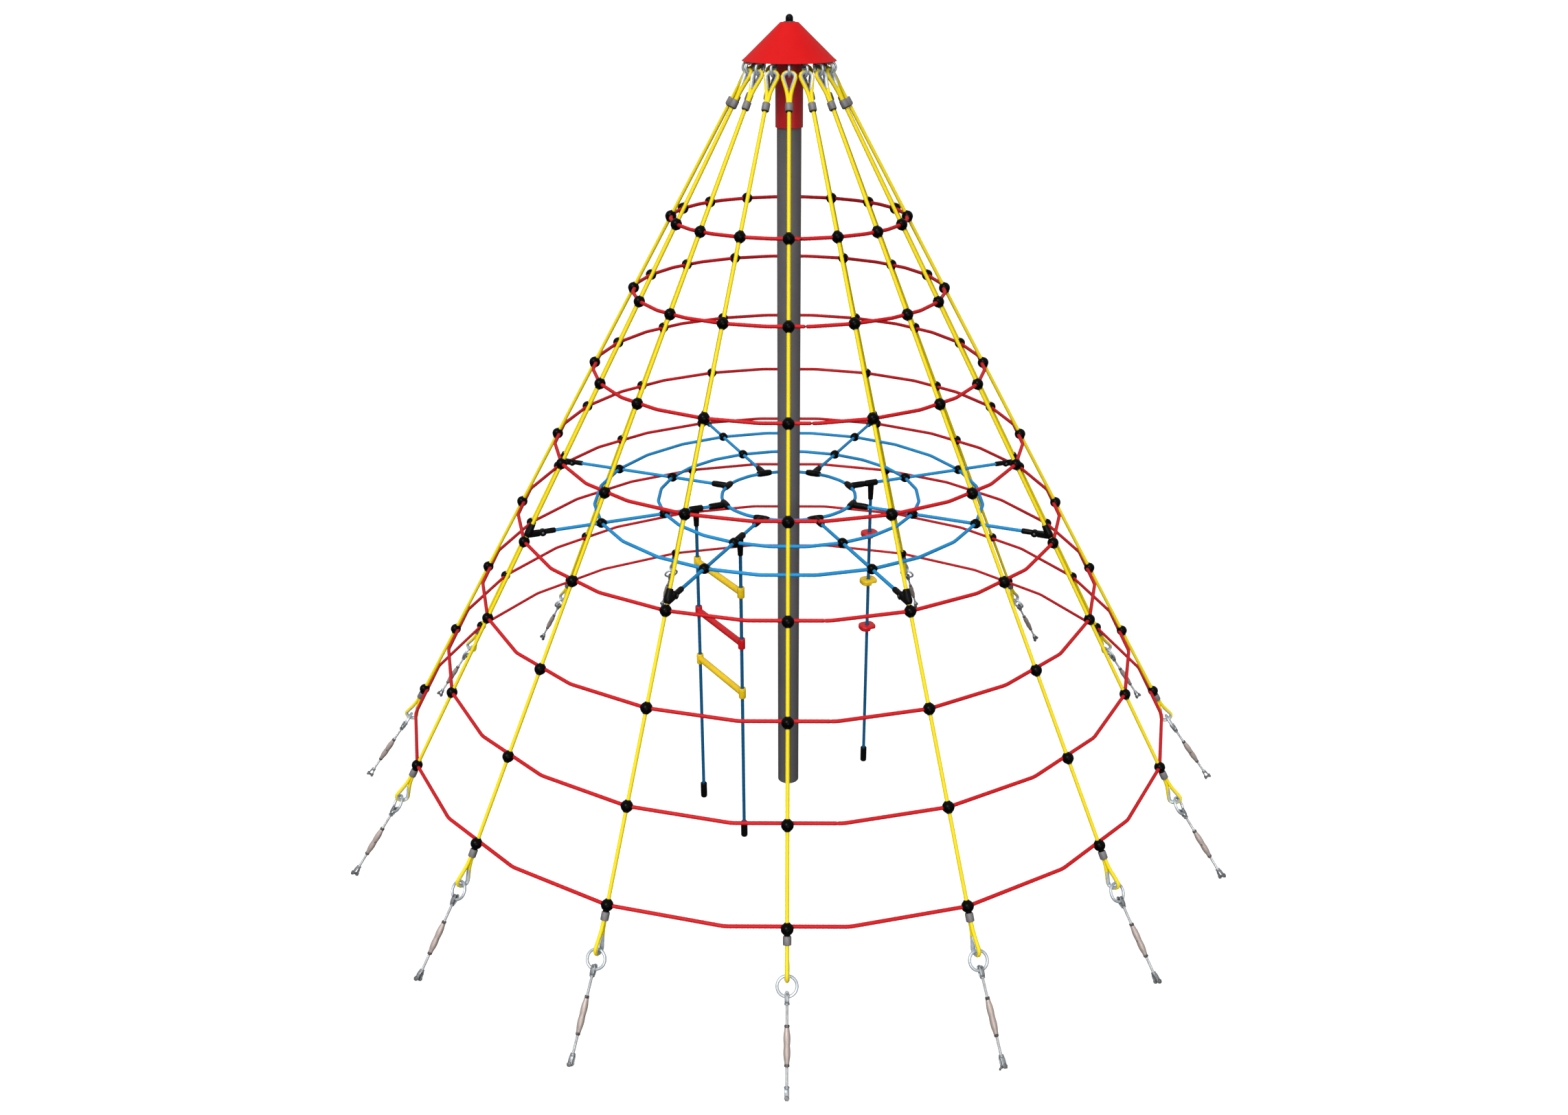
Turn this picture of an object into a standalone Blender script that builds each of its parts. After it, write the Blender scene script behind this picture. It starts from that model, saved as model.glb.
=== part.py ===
"""Rope pyramid climber for a playground, in metres, +Z up, mast axis on Z, ground at z = 0.

Sixteen straight guy ropes run from a steel mast head down to ground anchors. Eight level rope rings
cross them in ball connectors. A rope platform, a rope ladder and a climbing rope hang inside.
Azimuth 0 is the side facing -Y, and azimuths grow towards +X.
"""

import math

import bmesh
import bpy
from mathutils import Matrix, Vector

# Driving dimensions of the whole net
GUY_COUNT = 16
GUY_SLOPE = 0.5627  # radius gained for each metre down
LOWEST_RING_RADIUS = 2.0
LOWEST_RING_Z = 0.572
RING_PITCH_Z = 0.3703
TOP_RING_PITCH_Z = 0.340
RING_COUNT = 8
RING_CORNERS = 24
ROPE_RADIUS = 0.009
BALL_RADIUS = 0.027
BALL_MIDDLE = (0.52, 0.97)  # half length and radius of its widest part, in ball radii
RING_ROLL = -math.pi / 4  # brings a flat of the square ring section level
CLEARANCE = 0.0003

# Mast and head
MAST_RADIUS = 0.05715
MAST_WALL = 0.0045
MAST_TOP_Z = 3.846
FOOT_PLATE = 0.012
FOOT_HOLE_RADIUS = 0.015
STUD_RADIUS = 0.008
SLEEVE_RADIUS = 0.064
SLEEVE_BOTTOM_Z = 3.537
CROWN_RADIUS = 0.182
CROWN_BOTTOM_Z = 3.840
CROWN_TOP_Z = 3.848
LUG_SIZE = (0.007, 0.026)  # thickness, width
LUG_ABOVE_EYE = (0.018, 0.062)  # where it ends and starts, measured up the guy's line
LUG_HOLE = (0.020, 0.0155, 0.0182)  # through the lug, across it, along the guy
LUG_HOLE_BELOW_CROWN = 0.0006
CAP_RIM_RADIUS = 0.2154
CAP_RIM_Z = 3.825
CAP_TOP_RADIUS = 0.041
CAP_TOP_Z = 3.988
CAP_SHEET = 0.004
STUD_ABOVE_CAP = 0.022
NUT_RADIUS = 0.0172
NUT_TOP_Z = 4.022
WASHER_RADIUS = 0.026
WASHER_THICKNESS = 0.003

# Guy rope ends and tensioners
EYE_CROWN_TOP_Z = 3.791
EYE_CROWN_BOTTOM_Z = 0.390
EYE_LENGTH = 0.1435
EYE_CROWN_INSET = 0.0025
EYE_RADIUS = 0.0255
EYE_TUBE = 0.012
FERRULE_RADIUS = 0.018
FERRULE_LENGTH = 0.038
ROPE_IN_FERRULE = 0.010
SHACKLE_RADIUS = 0.025
SHACKLE_WIRE = 0.007
SHACKLE_ABOVE_EYE = 0.0065
STEEL_RING_RADIUS = 0.0415
STEEL_RING_WIRE = 0.0068
RING_IN_EYE = 0.0205
TENSIONER_TILT = math.radians(35.31)
PIN_TO_PIN = 0.4062
PIN_INSIDE_RING = 0.0115
PIN_TO_NUT = 0.122
LOCK_NUT = (0.011, 0.011)  # radius across corners, height
TURNBUCKLE_LENGTH = 0.143
TURNBUCKLE_RADII = (0.0075, 0.014)  # across the corners of its bore, and outside
ROD_RADIUS = 0.006
JAW_LENGTH = 0.043
JAW_PAST_PIN = 0.011
JAW_GAP = 0.014
JAW_STRAP = 0.005
JAW_WIDTH = 0.020
JAW_SHOULDER = 0.024  # how far from the pin its legs turn inwards
JAW_ROOT = (0.007, 0.003)  # half widths at its root, outside and inside
JAW_ROOT_THICKNESS = 0.011
BOLT_HEAD_HEIGHT = 0.007
ANCHORED_GUY = 1  # the guy whose ground staple stands above the ground
STAPLE_WIRE = 0.0045
STAPLE_HALF_WIDTH = 0.0155
STAPLE_BOW = (0.55, 0.002, 0.0105)  # its flat top's share of the width, shoulder and top above pin
STAPLE_FOOT_Z = 0.0012

# Platform
PLATFORM_Z = 1.720
PLATFORM_OUTER_RADIUS = 0.991
PLATFORM_MIDDLE_RADIUS = 0.669
PLATFORM_INNER_RADIUS = 0.345
SPOKE_EYE = (1.283, 0.018, 0.011)  # how far out, radius, half thickness
SPOKE_EYE_DROP = 0.003
SPOKE_NECK = (0.020, 0.034)  # thickness, height
SPOKE_SOCKET = (0.063, 0.0145, 0.0125)  # length, radius at its mouth and at the eye
SPOKE_END_GAP = 0.004  # from the eye's middle to the socket's end
SPOKE_START = 0.050  # outside the inner ring
TEE_RADIUS = 0.017
TEE_TAPER = (0.98, 0.96, 0.85)  # of a drop socket, a spoke socket, and a drop socket's mouth
TEE_COLLAR_LENGTH = 0.080
TEE_SOCKET_END_RADIUS = 0.433
GUY_CLAMP_Z = 1.7385
GUY_CLAMP_LENGTH = 0.068
GUY_CLAMP_RADII = (0.016, 0.020, 0.014)  # top, widest, bottom
GUY_CLAMP_WIDEST = -0.4  # in half lengths from its middle
CHANNEL_MARGIN = 0.060

# Hanging ropes, all at the height where they leave their sockets
SOCKET_MOUTH_Z = 1.627
SOCKET_RECESS = (0.0116, 0.012)  # radius, depth
ROPE_IN_SOCKET = 0.003
HANGING_END_Z = 0.003
END_CAP_LENGTH = 0.092
END_CAP_RADIUS = 0.0175
END_CAP_BEVEL = 0.006
END_CAP_FLOOR = 0.0322  # solid below its bore
LADDER_SPOKES = ((-3, 0.503), (-1, 0.602))  # guy step, radius
RUNG_Z = (1.430, 1.150, 0.870)
RUNG_RADIUS = 0.0172
RUNG_COLLAR = (0.018, 0.056)
CLIMBING_SPOKE = (5, 0.4690)
CLIMBING_TEE_LENGTH = 0.070
STEP_TOP_Z = (1.443, 1.165, 0.887)
STEP_THICKNESS = 0.030
STEP_SIZE = (0.094, 0.082)
STEP_NOTCH_START = 0.017  # along +X from the rope
STEP_NOTCH_HEIGHT = 0.012

SCENE = bpy.context.scene


def start_clean():
    for obj in list(bpy.data.objects):
        bpy.data.objects.remove(obj, do_unlink=True)


def new_collection(name):
    collection = bpy.data.collections.new(name)
    SCENE.collection.children.link(collection)
    return collection


start_clean()
PARTS = new_collection("rope_pyramid_climber")
CUTTERS = new_collection("cutters")
CUTTERS.hide_render = True


def material(name, colour, roughness, metallic=0.0):
    made = bpy.data.materials.new(name)
    made.use_nodes = True
    shader = made.node_tree.nodes["Principled BSDF"]
    shader.inputs["Base Color"].default_value = (*colour, 1.0)
    shader.inputs["Roughness"].default_value = roughness
    shader.inputs["Metallic"].default_value = metallic
    return made


MATERIALS = {
    "mast": material("mast_grey_paint", (0.105, 0.100, 0.105), 0.45),
    "sleeve": material("deep_red_paint", (0.38, 0.010, 0.018), 0.40),
    "cap": material("red_plastic_cap", (0.77, 0.016, 0.018), 0.38),
    "nut": material("black_plastic", (0.012, 0.012, 0.013), 0.35),
    "ball": material("red_rope_with_black_balls", (0.55, 0.010, 0.020), 0.60),
    "guy": material("yellow_rope", (0.85, 0.62, 0.010), 0.60),
    "turnbuckle": material("turnbuckle_steel", (0.42, 0.36, 0.33), 0.38, 0.8),
    "platform": material("blue_rope", (0.013, 0.26, 0.60), 0.60),
    "hanging": material("dark_blue_rope", (0.005, 0.11, 0.26), 0.60),
    "red": material("red_moulded_plastic", (0.62, 0.012, 0.025), 0.38),
    "yellow": material("yellow_moulded_plastic", (0.75, 0.50, 0.008), 0.38),
    "connector": material("black_connector", (0.018, 0.018, 0.019), 0.42),
}


# Places

def radial(azimuth):
    return Vector((math.sin(azimuth), -math.cos(azimuth), 0.0))


def guy_azimuth(step):
    return 2 * math.pi * step / GUY_COUNT


def turn_to(azimuth):
    """Carries local +X to the outward direction at this azimuth."""
    return Matrix.Rotation(azimuth - math.pi / 2, 4, "Z")


def guy_radius(z):
    return LOWEST_RING_RADIUS - GUY_SLOPE * (z - LOWEST_RING_Z)


def at(azimuth, radius, z):
    return radial(azimuth) * radius + Vector((0, 0, z))


def ring_heights():
    """From the top ring down to the lowest."""
    heights = [LOWEST_RING_Z + RING_PITCH_Z * i for i in range(RING_COUNT - 1)]
    return [heights[-1] + TOP_RING_PITCH_Z, *reversed(heights)]


GUY_TILT = math.atan(GUY_SLOPE)
GUY_DOWN = Vector((math.sin(GUY_TILT), 0.0, -math.cos(GUY_TILT)))
TENSIONER_DOWN = Vector((math.sin(TENSIONER_TILT), 0.0, -math.cos(TENSIONER_TILT)))
TENSIONER_OUT = Vector((math.cos(TENSIONER_TILT), 0.0, math.sin(TENSIONER_TILT)))
SIDEWAYS = Vector((0.0, 1.0, 0.0))


def on_guy(z):
    """A point of the guy's centre line in the local frame whose +X is outward."""
    return Vector((guy_radius(z), 0.0, z))


# Shapes

def add(name, mesh, kind, collection=PARTS):
    obj = bpy.data.objects.new(name, mesh)
    collection.objects.link(obj)
    if kind:
        mesh.materials.append(MATERIALS[kind])
    return obj


def evaluated_mesh(obj):
    graph = bpy.context.evaluated_depsgraph_get()
    mesh = bpy.data.meshes.new_from_object(obj.evaluated_get(graph))
    mesh.transform(obj.matrix_world)
    shell = bmesh.new()
    shell.from_mesh(mesh)
    bmesh.ops.remove_doubles(shell, verts=shell.verts, dist=1e-6)
    bmesh.ops.triangulate(shell, faces=shell.faces)
    bmesh.ops.recalc_face_normals(shell, faces=shell.faces)
    shell.to_mesh(mesh)
    shell.free()
    mesh.materials.clear()
    return mesh


def tube(points, radius, resolution=1, cyclic=False, scales=None, tilt=0.0, twist="MINIMUM"):
    """A helper object: a welded mesh tube of 4, 6, 8, ... sides along the points."""
    curve = bpy.data.curves.new("route", "CURVE")
    curve.dimensions = "3D"
    curve.twist_mode = twist
    curve.bevel_depth = radius
    curve.bevel_resolution = resolution
    curve.use_fill_caps = True
    spline = curve.splines.new("POLY")
    spline.points.add(len(points) - 1)
    spline.use_cyclic_u = cyclic
    for i, place in enumerate(points):
        spline.points[i].co = (*place, 1.0)
        spline.points[i].tilt = tilt
        spline.points[i].radius = scales[i] if scales else 1.0
    route = bpy.data.objects.new("route", curve)
    CUTTERS.objects.link(route)
    mesh = evaluated_mesh(route)
    bpy.data.objects.remove(route)
    return helper(mesh)


def helper(mesh):
    obj = bpy.data.objects.new("helper", mesh)
    CUTTERS.objects.link(obj)
    obj.hide_render = True
    obj.display_type = "WIRE"
    return obj


def rod(start, end, radius, sides=6, roll=0.0, end_radius=None):
    """A cylinder or a cone between two points."""
    start, end = Vector(start), Vector(end)
    shell = bmesh.new()
    bmesh.ops.create_cone(
        shell, cap_ends=True, segments=sides, radius1=radius, radius2=end_radius or radius,
        depth=(end - start).length)
    turn = (end - start).to_track_quat("Z", "Y").to_matrix().to_4x4()
    spin = Matrix.Rotation(roll, 4, "Z")
    bmesh.ops.transform(shell, matrix=Matrix.Translation((start + end) / 2) @ turn @ spin,
                        verts=shell.verts)
    mesh = bpy.data.meshes.new("rod")
    shell.to_mesh(mesh)
    shell.free()
    return helper(mesh)


def block(centre, size, turn=None):
    shell = bmesh.new()
    bmesh.ops.create_cube(shell, size=1.0)
    scale = Matrix.Diagonal((*size, 1.0))
    placed = Matrix.Translation(centre) @ (turn or Matrix.Identity(4)) @ scale
    bmesh.ops.transform(shell, matrix=placed, verts=shell.verts)
    mesh = bpy.data.meshes.new("block")
    shell.to_mesh(mesh)
    shell.free()
    return helper(mesh)


def turned(profile, sides, closed=True):
    """A mesh of the profile (radius, z), which a Screw turns round Z."""
    mesh = bpy.data.meshes.new("turned")
    edges = [(i, i + 1) for i in range(len(profile) - 1)]
    if closed:
        edges.append((len(profile) - 1, 0))
    mesh.from_pydata([(r, 0.0, z) for r, z in profile], edges, [])
    obj = helper(mesh)
    screw = obj.modifiers.new("turn", "SCREW")
    screw.steps = sides
    screw.render_steps = sides
    screw.use_merge_vertices = True
    screw.merge_threshold = 1e-5
    return obj


def turned_piece(profile, sides, matrix):
    """A helper: the profile turned round Z, which the matrix then places."""
    return helper(baked(turned(profile, sides, closed=False), matrix))


def baked(obj, matrix=None):
    """Turns a helper's evaluated shape into plain mesh data, and removes the helper."""
    mesh = evaluated_mesh(obj)
    if matrix:
        mesh.transform(matrix)
    bpy.data.objects.remove(obj)
    return mesh


def combine(first, others, operation="UNION"):
    """One mesh: the first helper joined with, or cut by, the others."""
    for other in others:
        cut = first.modifiers.new(operation.lower(), "BOOLEAN")
        cut.operation = operation
        cut.object = other
    mesh = evaluated_mesh(first)
    for obj in (first, *others):
        bpy.data.objects.remove(obj)
    return mesh


def cut_by(obj, cutter):
    modifier = obj.modifiers.new("rope_channel", "BOOLEAN")
    modifier.operation = "DIFFERENCE"
    modifier.object = cutter


def shade(obj, degrees=40):
    obj.data.shade_smooth()
    obj.data.set_sharp_from_angle(angle=math.radians(degrees))


def joined_cutter(name, helpers):
    """One cutter object out of several separate helper shapes."""
    shell = bmesh.new()
    for one in helpers:
        shell.from_mesh(one.data)
        bpy.data.objects.remove(one)
    mesh = bpy.data.meshes.new(name)
    shell.to_mesh(mesh)
    shell.free()
    cutter = helper(mesh)
    cutter.name = name
    return cutter


# Mast and head

def make_mast():
    outer, inner = MAST_RADIUS, MAST_RADIUS - MAST_WALL
    stud_top = CAP_TOP_Z + STUD_ABOVE_CAP
    profile = [
        (0.0, stud_top), (STUD_RADIUS, stud_top), (STUD_RADIUS, MAST_TOP_Z), (outer, MAST_TOP_Z),
        (outer, 0.0), (FOOT_HOLE_RADIUS, 0.0), (FOOT_HOLE_RADIUS, FOOT_PLATE),
        (inner, FOOT_PLATE), (inner, MAST_TOP_Z - FOOT_PLATE), (0.0, MAST_TOP_Z - FOOT_PLATE),
    ]
    mast = add("mast_tube", baked(turned(profile, 24, closed=False)), "mast")
    shade(mast)


def make_head():
    bore = MAST_RADIUS + CLEARANCE
    profile = [
        (CROWN_RADIUS, CROWN_TOP_Z), (CROWN_RADIUS, CROWN_BOTTOM_Z),
        (SLEEVE_RADIUS, CROWN_BOTTOM_Z), (SLEEVE_RADIUS, SLEEVE_BOTTOM_Z),
        (bore, SLEEVE_BOTTOM_Z), (bore, CROWN_TOP_Z),
    ]
    body = turned(profile, 32)
    lugs = []
    holes = []
    eye_crown = on_guy(EYE_CROWN_TOP_Z)
    low, high = LUG_ABOVE_EYE
    lug_middle = eye_crown - GUY_DOWN * (low + high) / 2
    hole_height = SHACKLE_ABOVE_EYE + SHACKLE_RADIUS - LUG_HOLE_BELOW_CROWN
    hole_middle = eye_crown - GUY_DOWN * hole_height
    for step in range(GUY_COUNT):
        turn = turn_to(guy_azimuth(step))
        tilt = turn @ Matrix.Rotation(-GUY_TILT, 4, "Y")
        lugs.append(block(turn @ lug_middle, (*LUG_SIZE, high - low), tilt))
        holes.append(block(turn @ hole_middle, LUG_HOLE, tilt))
    head = add("mast_head_sleeve", combine(body, lugs), "sleeve")
    cut_by(head, joined_cutter("shackle_holes", holes))
    shade(head)


def make_cap():
    slope = (CAP_RIM_RADIUS - CAP_TOP_RADIUS) / (CAP_TOP_Z - CAP_RIM_Z)
    drop = CAP_SHEET * math.hypot(slope, 1) / slope
    hole = STUD_RADIUS + 0.001
    profile = [
        (hole, CAP_TOP_Z), (CAP_TOP_RADIUS, CAP_TOP_Z), (CAP_RIM_RADIUS, CAP_RIM_Z),
        (CAP_RIM_RADIUS - drop * slope, CAP_RIM_Z),
        (CAP_TOP_RADIUS + (CAP_SHEET - drop) * slope, CAP_TOP_Z - CAP_SHEET),
        (hole, CAP_TOP_Z - CAP_SHEET),
    ]
    shade(add("head_cap", baked(turned(profile, 32)), "cap"))


def make_dome_nut():
    bottom = CAP_TOP_Z + CLEARANCE
    shoulder = bottom + WASHER_THICKNESS
    bore = STUD_RADIUS + CLEARANCE
    bore_end = CAP_TOP_Z + STUD_ABOVE_CAP + 4 * CLEARANCE
    dome_start = NUT_TOP_Z - NUT_RADIUS
    arc = [math.radians(a) for a in (67.5, 45.0, 22.5, 0.0)]
    dome = [(NUT_RADIUS * math.cos(a), dome_start + NUT_RADIUS * math.sin(a)) for a in arc]
    profile = [
        (0.0, NUT_TOP_Z), *dome, (NUT_RADIUS, shoulder), (WASHER_RADIUS, shoulder),
        (WASHER_RADIUS, bottom), (bore, bottom), (bore, bore_end), (0.0, bore_end),
    ]
    shade(add("cap_dome_nut", baked(turned(profile, 12, closed=False)), "nut"))


# Net rings

def ring_stations(radius, ball_steps, ball_radius=BALL_RADIUS):
    """Stations round a ring: places in its plane and how many rope radii wide it is there.

    The rope is a regular polygon. A ball at an odd step sits on a corner, and one at an even step
    sits on the middle of a side, a little outside the rope, so that it centres on its guy.
    """
    stations = []
    side = math.cos(math.pi / RING_CORNERS)
    for corner in range(RING_CORNERS):
        azimuth = 2 * math.pi * (corner + 0.5) / RING_CORNERS
        stations.append((azimuth, radius, 1.0))
    half_length, widest = BALL_MIDDLE
    fat = ball_radius * widest / ROPE_RADIUS
    for step in ball_steps:
        middle = guy_azimuth(step)
        rope = radius if step % 2 else radius * side
        near = math.asin(ball_radius * half_length / radius)
        far = math.asin(ball_radius / radius)
        stations = [s for s in stations if abs(angle_between(s[0], middle)) > far]
        for sign in (-1, 1):
            stations.append((middle + sign * near, radius / math.cos(near), fat))
            stations.append((middle + sign * far, rope, 1.0))
    return sorted((azimuth % (2 * math.pi), r, scale) for azimuth, r, scale in stations)


def angle_between(a, b):
    return (a - b + math.pi) % (2 * math.pi) - math.pi


def make_rope_ring(name, radius, z, ball_steps, kind, lean, ball_radius=BALL_RADIUS):
    """A rope ring with its ball connectors. Two flats of each ball face along the lean."""
    stations = ring_stations(radius, ball_steps, ball_radius)
    points = [at(azimuth, r, z) for azimuth, r, _ in stations]
    scales = [scale for _, _, scale in stations]
    ring = tube(points, ROPE_RADIUS, 0, True, scales, RING_ROLL - lean, "Z_UP")
    obj = add(name, baked(ring), kind)
    shade(obj, 50)
    return obj


def make_guy_channels():
    """Square channels along every guy, which the balls and the guy clamps are cut by."""
    half = ROPE_RADIUS + CLEARANCE
    lengths = []
    for step in range(GUY_COUNT):
        turn = turn_to(guy_azimuth(step))
        start = turn @ on_guy(ring_heights()[0] + CHANNEL_MARGIN)
        end = turn @ on_guy(LOWEST_RING_Z - CHANNEL_MARGIN)
        tilt = turn @ Matrix.Rotation(-GUY_TILT, 4, "Y")
        size = (2 * half, 2 * half, (end - start).length)
        lengths.append(block((start + end) / 2, size, tilt))
    return joined_cutter("guy_channels", lengths)


def make_net_rings(channels):
    steps = range(GUY_COUNT)
    for number, z in enumerate(ring_heights(), start=1):
        ring = make_rope_ring(f"net_ring_{number}", guy_radius(z), z, steps, "ball", GUY_TILT)
        cut_by(ring, channels)


# Guy ropes with their end fittings and tensioner rods

def flat_loop(points, wire, origin, along, across):
    """A closed loop of square wire on edge, drawn flat and then placed by its two directions."""
    loop = tube([Vector((x, y, 0.0)) for x, y in points], wire, 0, True, twist="Z_UP")
    turn = Matrix((along, across, along.cross(across))).transposed().to_4x4()
    loop.data.transform(Matrix.Translation(origin) @ turn)
    return loop


def eye(crown, away, across):
    """The centre line of a teardrop eye: its round crown, and its legs meeting in the ferrule."""
    points = []
    for degrees in (180, 230, 280):
        a = math.radians(degrees)
        points.append((EYE_CROWN_INSET + EYE_RADIUS * (1 + math.cos(a)), EYE_RADIUS * math.sin(a)))
    points.append((EYE_LENGTH + EYE_TUBE / 3, 0.0))
    points += [(x, -y) for x, y in reversed(points[1:3])]
    return flat_loop(points, EYE_TUBE, crown, away, across)


def hoop(centre, radius, wire, along, across, corners=8):
    turns = [2 * math.pi * i / corners for i in range(corners)]
    points = [(radius * math.cos(a), radius * math.sin(a)) for a in turns]
    return flat_loop(points, wire, centre, along, across)


def strap_jaw(pin, root_way):
    """A U-shaped strap. Its legs straddle the pin, and its root is away from it."""
    inner, outer = JAW_GAP / 2, JAW_GAP / 2 + JAW_STRAP
    root_outside, root_inside = JAW_ROOT
    half = [(-JAW_PAST_PIN, inner), (-JAW_PAST_PIN, outer), (JAW_SHOULDER, outer),
            (JAW_LENGTH, root_outside)]
    inside = [(JAW_SHOULDER - 0.002, -inner), (JAW_LENGTH - JAW_ROOT_THICKNESS, -root_inside)]
    outline = half + [(x, -y) for x, y in reversed(half)] + inside
    outline += [(x, -y) for x, y in reversed(inside)]
    curve = bpy.data.curves.new("strap", "CURVE")
    curve.dimensions = "2D"
    curve.fill_mode = "BOTH"
    curve.extrude = JAW_WIDTH / 2
    spline = curve.splines.new("POLY")
    spline.points.add(len(outline) - 1)
    spline.use_cyclic_u = True
    for point, place in zip(spline.points, outline):
        point.co = (*place, 0.0, 1.0)
    flat = bpy.data.objects.new("strap", curve)
    CUTTERS.objects.link(flat)
    across = root_way.cross(SIDEWAYS)
    turn = Matrix((root_way, -across, SIDEWAYS)).transposed().to_4x4()
    flat.matrix_world = Matrix.Translation(pin) @ turn
    bpy.context.view_layer.update()
    mesh = evaluated_mesh(flat)
    bpy.data.objects.remove(flat)
    return helper(mesh)


def tensioner_places():
    """Pins and nuts of a tensioner in the local frame, from the steel ring down to the anchor."""
    crown = on_guy(EYE_CROWN_BOTTOM_Z)
    ring_top = crown - GUY_DOWN * RING_IN_EYE
    ring_centre = ring_top + TENSIONER_DOWN * STEEL_RING_RADIUS
    top_pin = ring_centre + TENSIONER_DOWN * (STEEL_RING_RADIUS - PIN_INSIDE_RING)
    bottom_pin = top_pin + TENSIONER_DOWN * PIN_TO_PIN
    nut = top_pin + TENSIONER_DOWN * PIN_TO_NUT
    return crown, ring_centre, top_pin, nut, bottom_pin


def guy_mesh(with_staple):
    crown_top = on_guy(EYE_CROWN_TOP_Z)
    crown, ring_centre, top_pin, nut, bottom_pin = tensioner_places()
    top_ferrule = crown_top + GUY_DOWN * EYE_LENGTH
    low_ferrule = crown - GUY_DOWN * EYE_LENGTH
    nut_height = LOCK_NUT[1]
    second_nut = nut + TENSIONER_DOWN * (nut_height + TURNBUCKLE_LENGTH)
    out = TENSIONER_OUT
    pin_reach = out * (JAW_GAP / 2 + JAW_STRAP / 2)
    jaw_root = TENSIONER_DOWN * (JAW_LENGTH - 0.004)
    pieces = [
        rod(top_ferrule, top_ferrule + GUY_DOWN * FERRULE_LENGTH, FERRULE_RADIUS),
        rod(low_ferrule, low_ferrule - GUY_DOWN * FERRULE_LENGTH, FERRULE_RADIUS),
        eye(crown_top, GUY_DOWN, SIDEWAYS),
        eye(crown, -GUY_DOWN, GUY_DOWN.cross(SIDEWAYS)),
        hoop(crown_top - GUY_DOWN * SHACKLE_ABOVE_EYE, SHACKLE_RADIUS, SHACKLE_WIRE,
             GUY_DOWN, GUY_DOWN.cross(SIDEWAYS), 6),
        hoop(ring_centre, STEEL_RING_RADIUS, STEEL_RING_WIRE, TENSIONER_DOWN, SIDEWAYS, 6),
        strap_jaw(top_pin, TENSIONER_DOWN),
        rod(top_pin - pin_reach, top_pin + pin_reach, ROD_RADIUS, 4),
        rod(top_pin + jaw_root, bottom_pin - jaw_root, ROD_RADIUS, 4),
        rod(nut, nut + TENSIONER_DOWN * (nut_height - CLEARANCE), LOCK_NUT[0]),
        rod(second_nut + TENSIONER_DOWN * CLEARANCE,
            second_nut + TENSIONER_DOWN * nut_height, LOCK_NUT[0]),
        strap_jaw(bottom_pin, -TENSIONER_DOWN),
        rod(bottom_pin - pin_reach, bottom_pin + pin_reach, ROD_RADIUS, 4),
        rod(bottom_pin + out * JAW_GAP / 2 + out * (JAW_STRAP - 0.001),
            bottom_pin + out * (JAW_GAP / 2 + JAW_STRAP + BOLT_HEAD_HEIGHT), LOCK_NUT[0]),
    ]
    rope_in = GUY_DOWN * ROPE_IN_FERRULE
    rope = rod(top_ferrule + rope_in, low_ferrule - rope_in, ROPE_RADIUS)
    if with_staple:
        pieces.append(staple(bottom_pin))
    return combine(rope, pieces)


def staple(pin):
    """The bow of the ground anchor, whose two legs go into the ground beside the bolt."""
    share, shoulder, top = STAPLE_BOW
    side = STAPLE_HALF_WIDTH
    half = [(side, STAPLE_FOOT_Z - pin.z), (side, shoulder), (side * share, top)]
    outline = half + [(-y, z) for y, z in reversed(half)]
    return tube([pin + Vector((0, y, z)) for y, z in outline], STAPLE_WIRE)


def make_guys():
    plain = guy_mesh(False)
    anchored = guy_mesh(True)
    for mesh in (plain, anchored):
        mesh.materials.append(MATERIALS["guy"])
    for step in range(GUY_COUNT):
        mesh = anchored if step == ANCHORED_GUY else plain
        guy = add(f"guy_rope_{step + 1:02d}", mesh, None)
        guy.rotation_euler = (0, 0, guy_azimuth(step) - math.pi / 2)
    for mesh in (plain, anchored):
        mesh.shade_smooth()
        mesh.set_sharp_from_angle(angle=math.radians(40))


def make_turnbuckles():
    half = TURNBUCKLE_LENGTH / 2 - CLEARANCE
    bore, outside = TURNBUCKLE_RADII
    mesh = baked(turned([(outside, half), (outside, -half), (bore, -half), (bore, half)], 6))
    mesh.materials.append(MATERIALS["turnbuckle"])
    mesh.shade_smooth()
    mesh.set_sharp_from_angle(angle=math.radians(50))
    nut = tensioner_places()[3]
    centre = nut + TENSIONER_DOWN * (LOCK_NUT[1] + TURNBUCKLE_LENGTH / 2)
    for step in range(GUY_COUNT):
        sleeve = add(f"turnbuckle_sleeve_{step + 1:02d}", mesh, None)
        turn = turn_to(guy_azimuth(step))
        tilt = Matrix.Rotation(-TENSIONER_TILT, 4, "Y")
        sleeve.matrix_world = Matrix.Translation(turn @ centre) @ turn @ tilt


# Platform

def spoke_steps():
    return range(1, GUY_COUNT, 2)


def tee_pieces(azimuth, radius, length, along_spoke):
    """A straight sleeve on a rope and the socket that leaves it."""
    way = radial(azimuth)
    across = way.cross(Vector((0, 0, 1)))
    middle = at(azimuth, radius, PLATFORM_Z)
    line = way if along_spoke else across
    drop, spoke, mouth = TEE_TAPER
    sleeve = rod(middle - line * length / 2, middle + line * length / 2, TEE_RADIUS)
    if along_spoke:
        foot = Vector((middle.x, middle.y, SOCKET_MOUTH_Z))
        return [sleeve, rod(middle, foot, TEE_RADIUS * drop, 8, end_radius=TEE_RADIUS * mouth)]
    end = at(azimuth, TEE_SOCKET_END_RADIUS, PLATFORM_Z)
    return [sleeve, rod(middle, end, TEE_RADIUS * spoke)]


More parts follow.
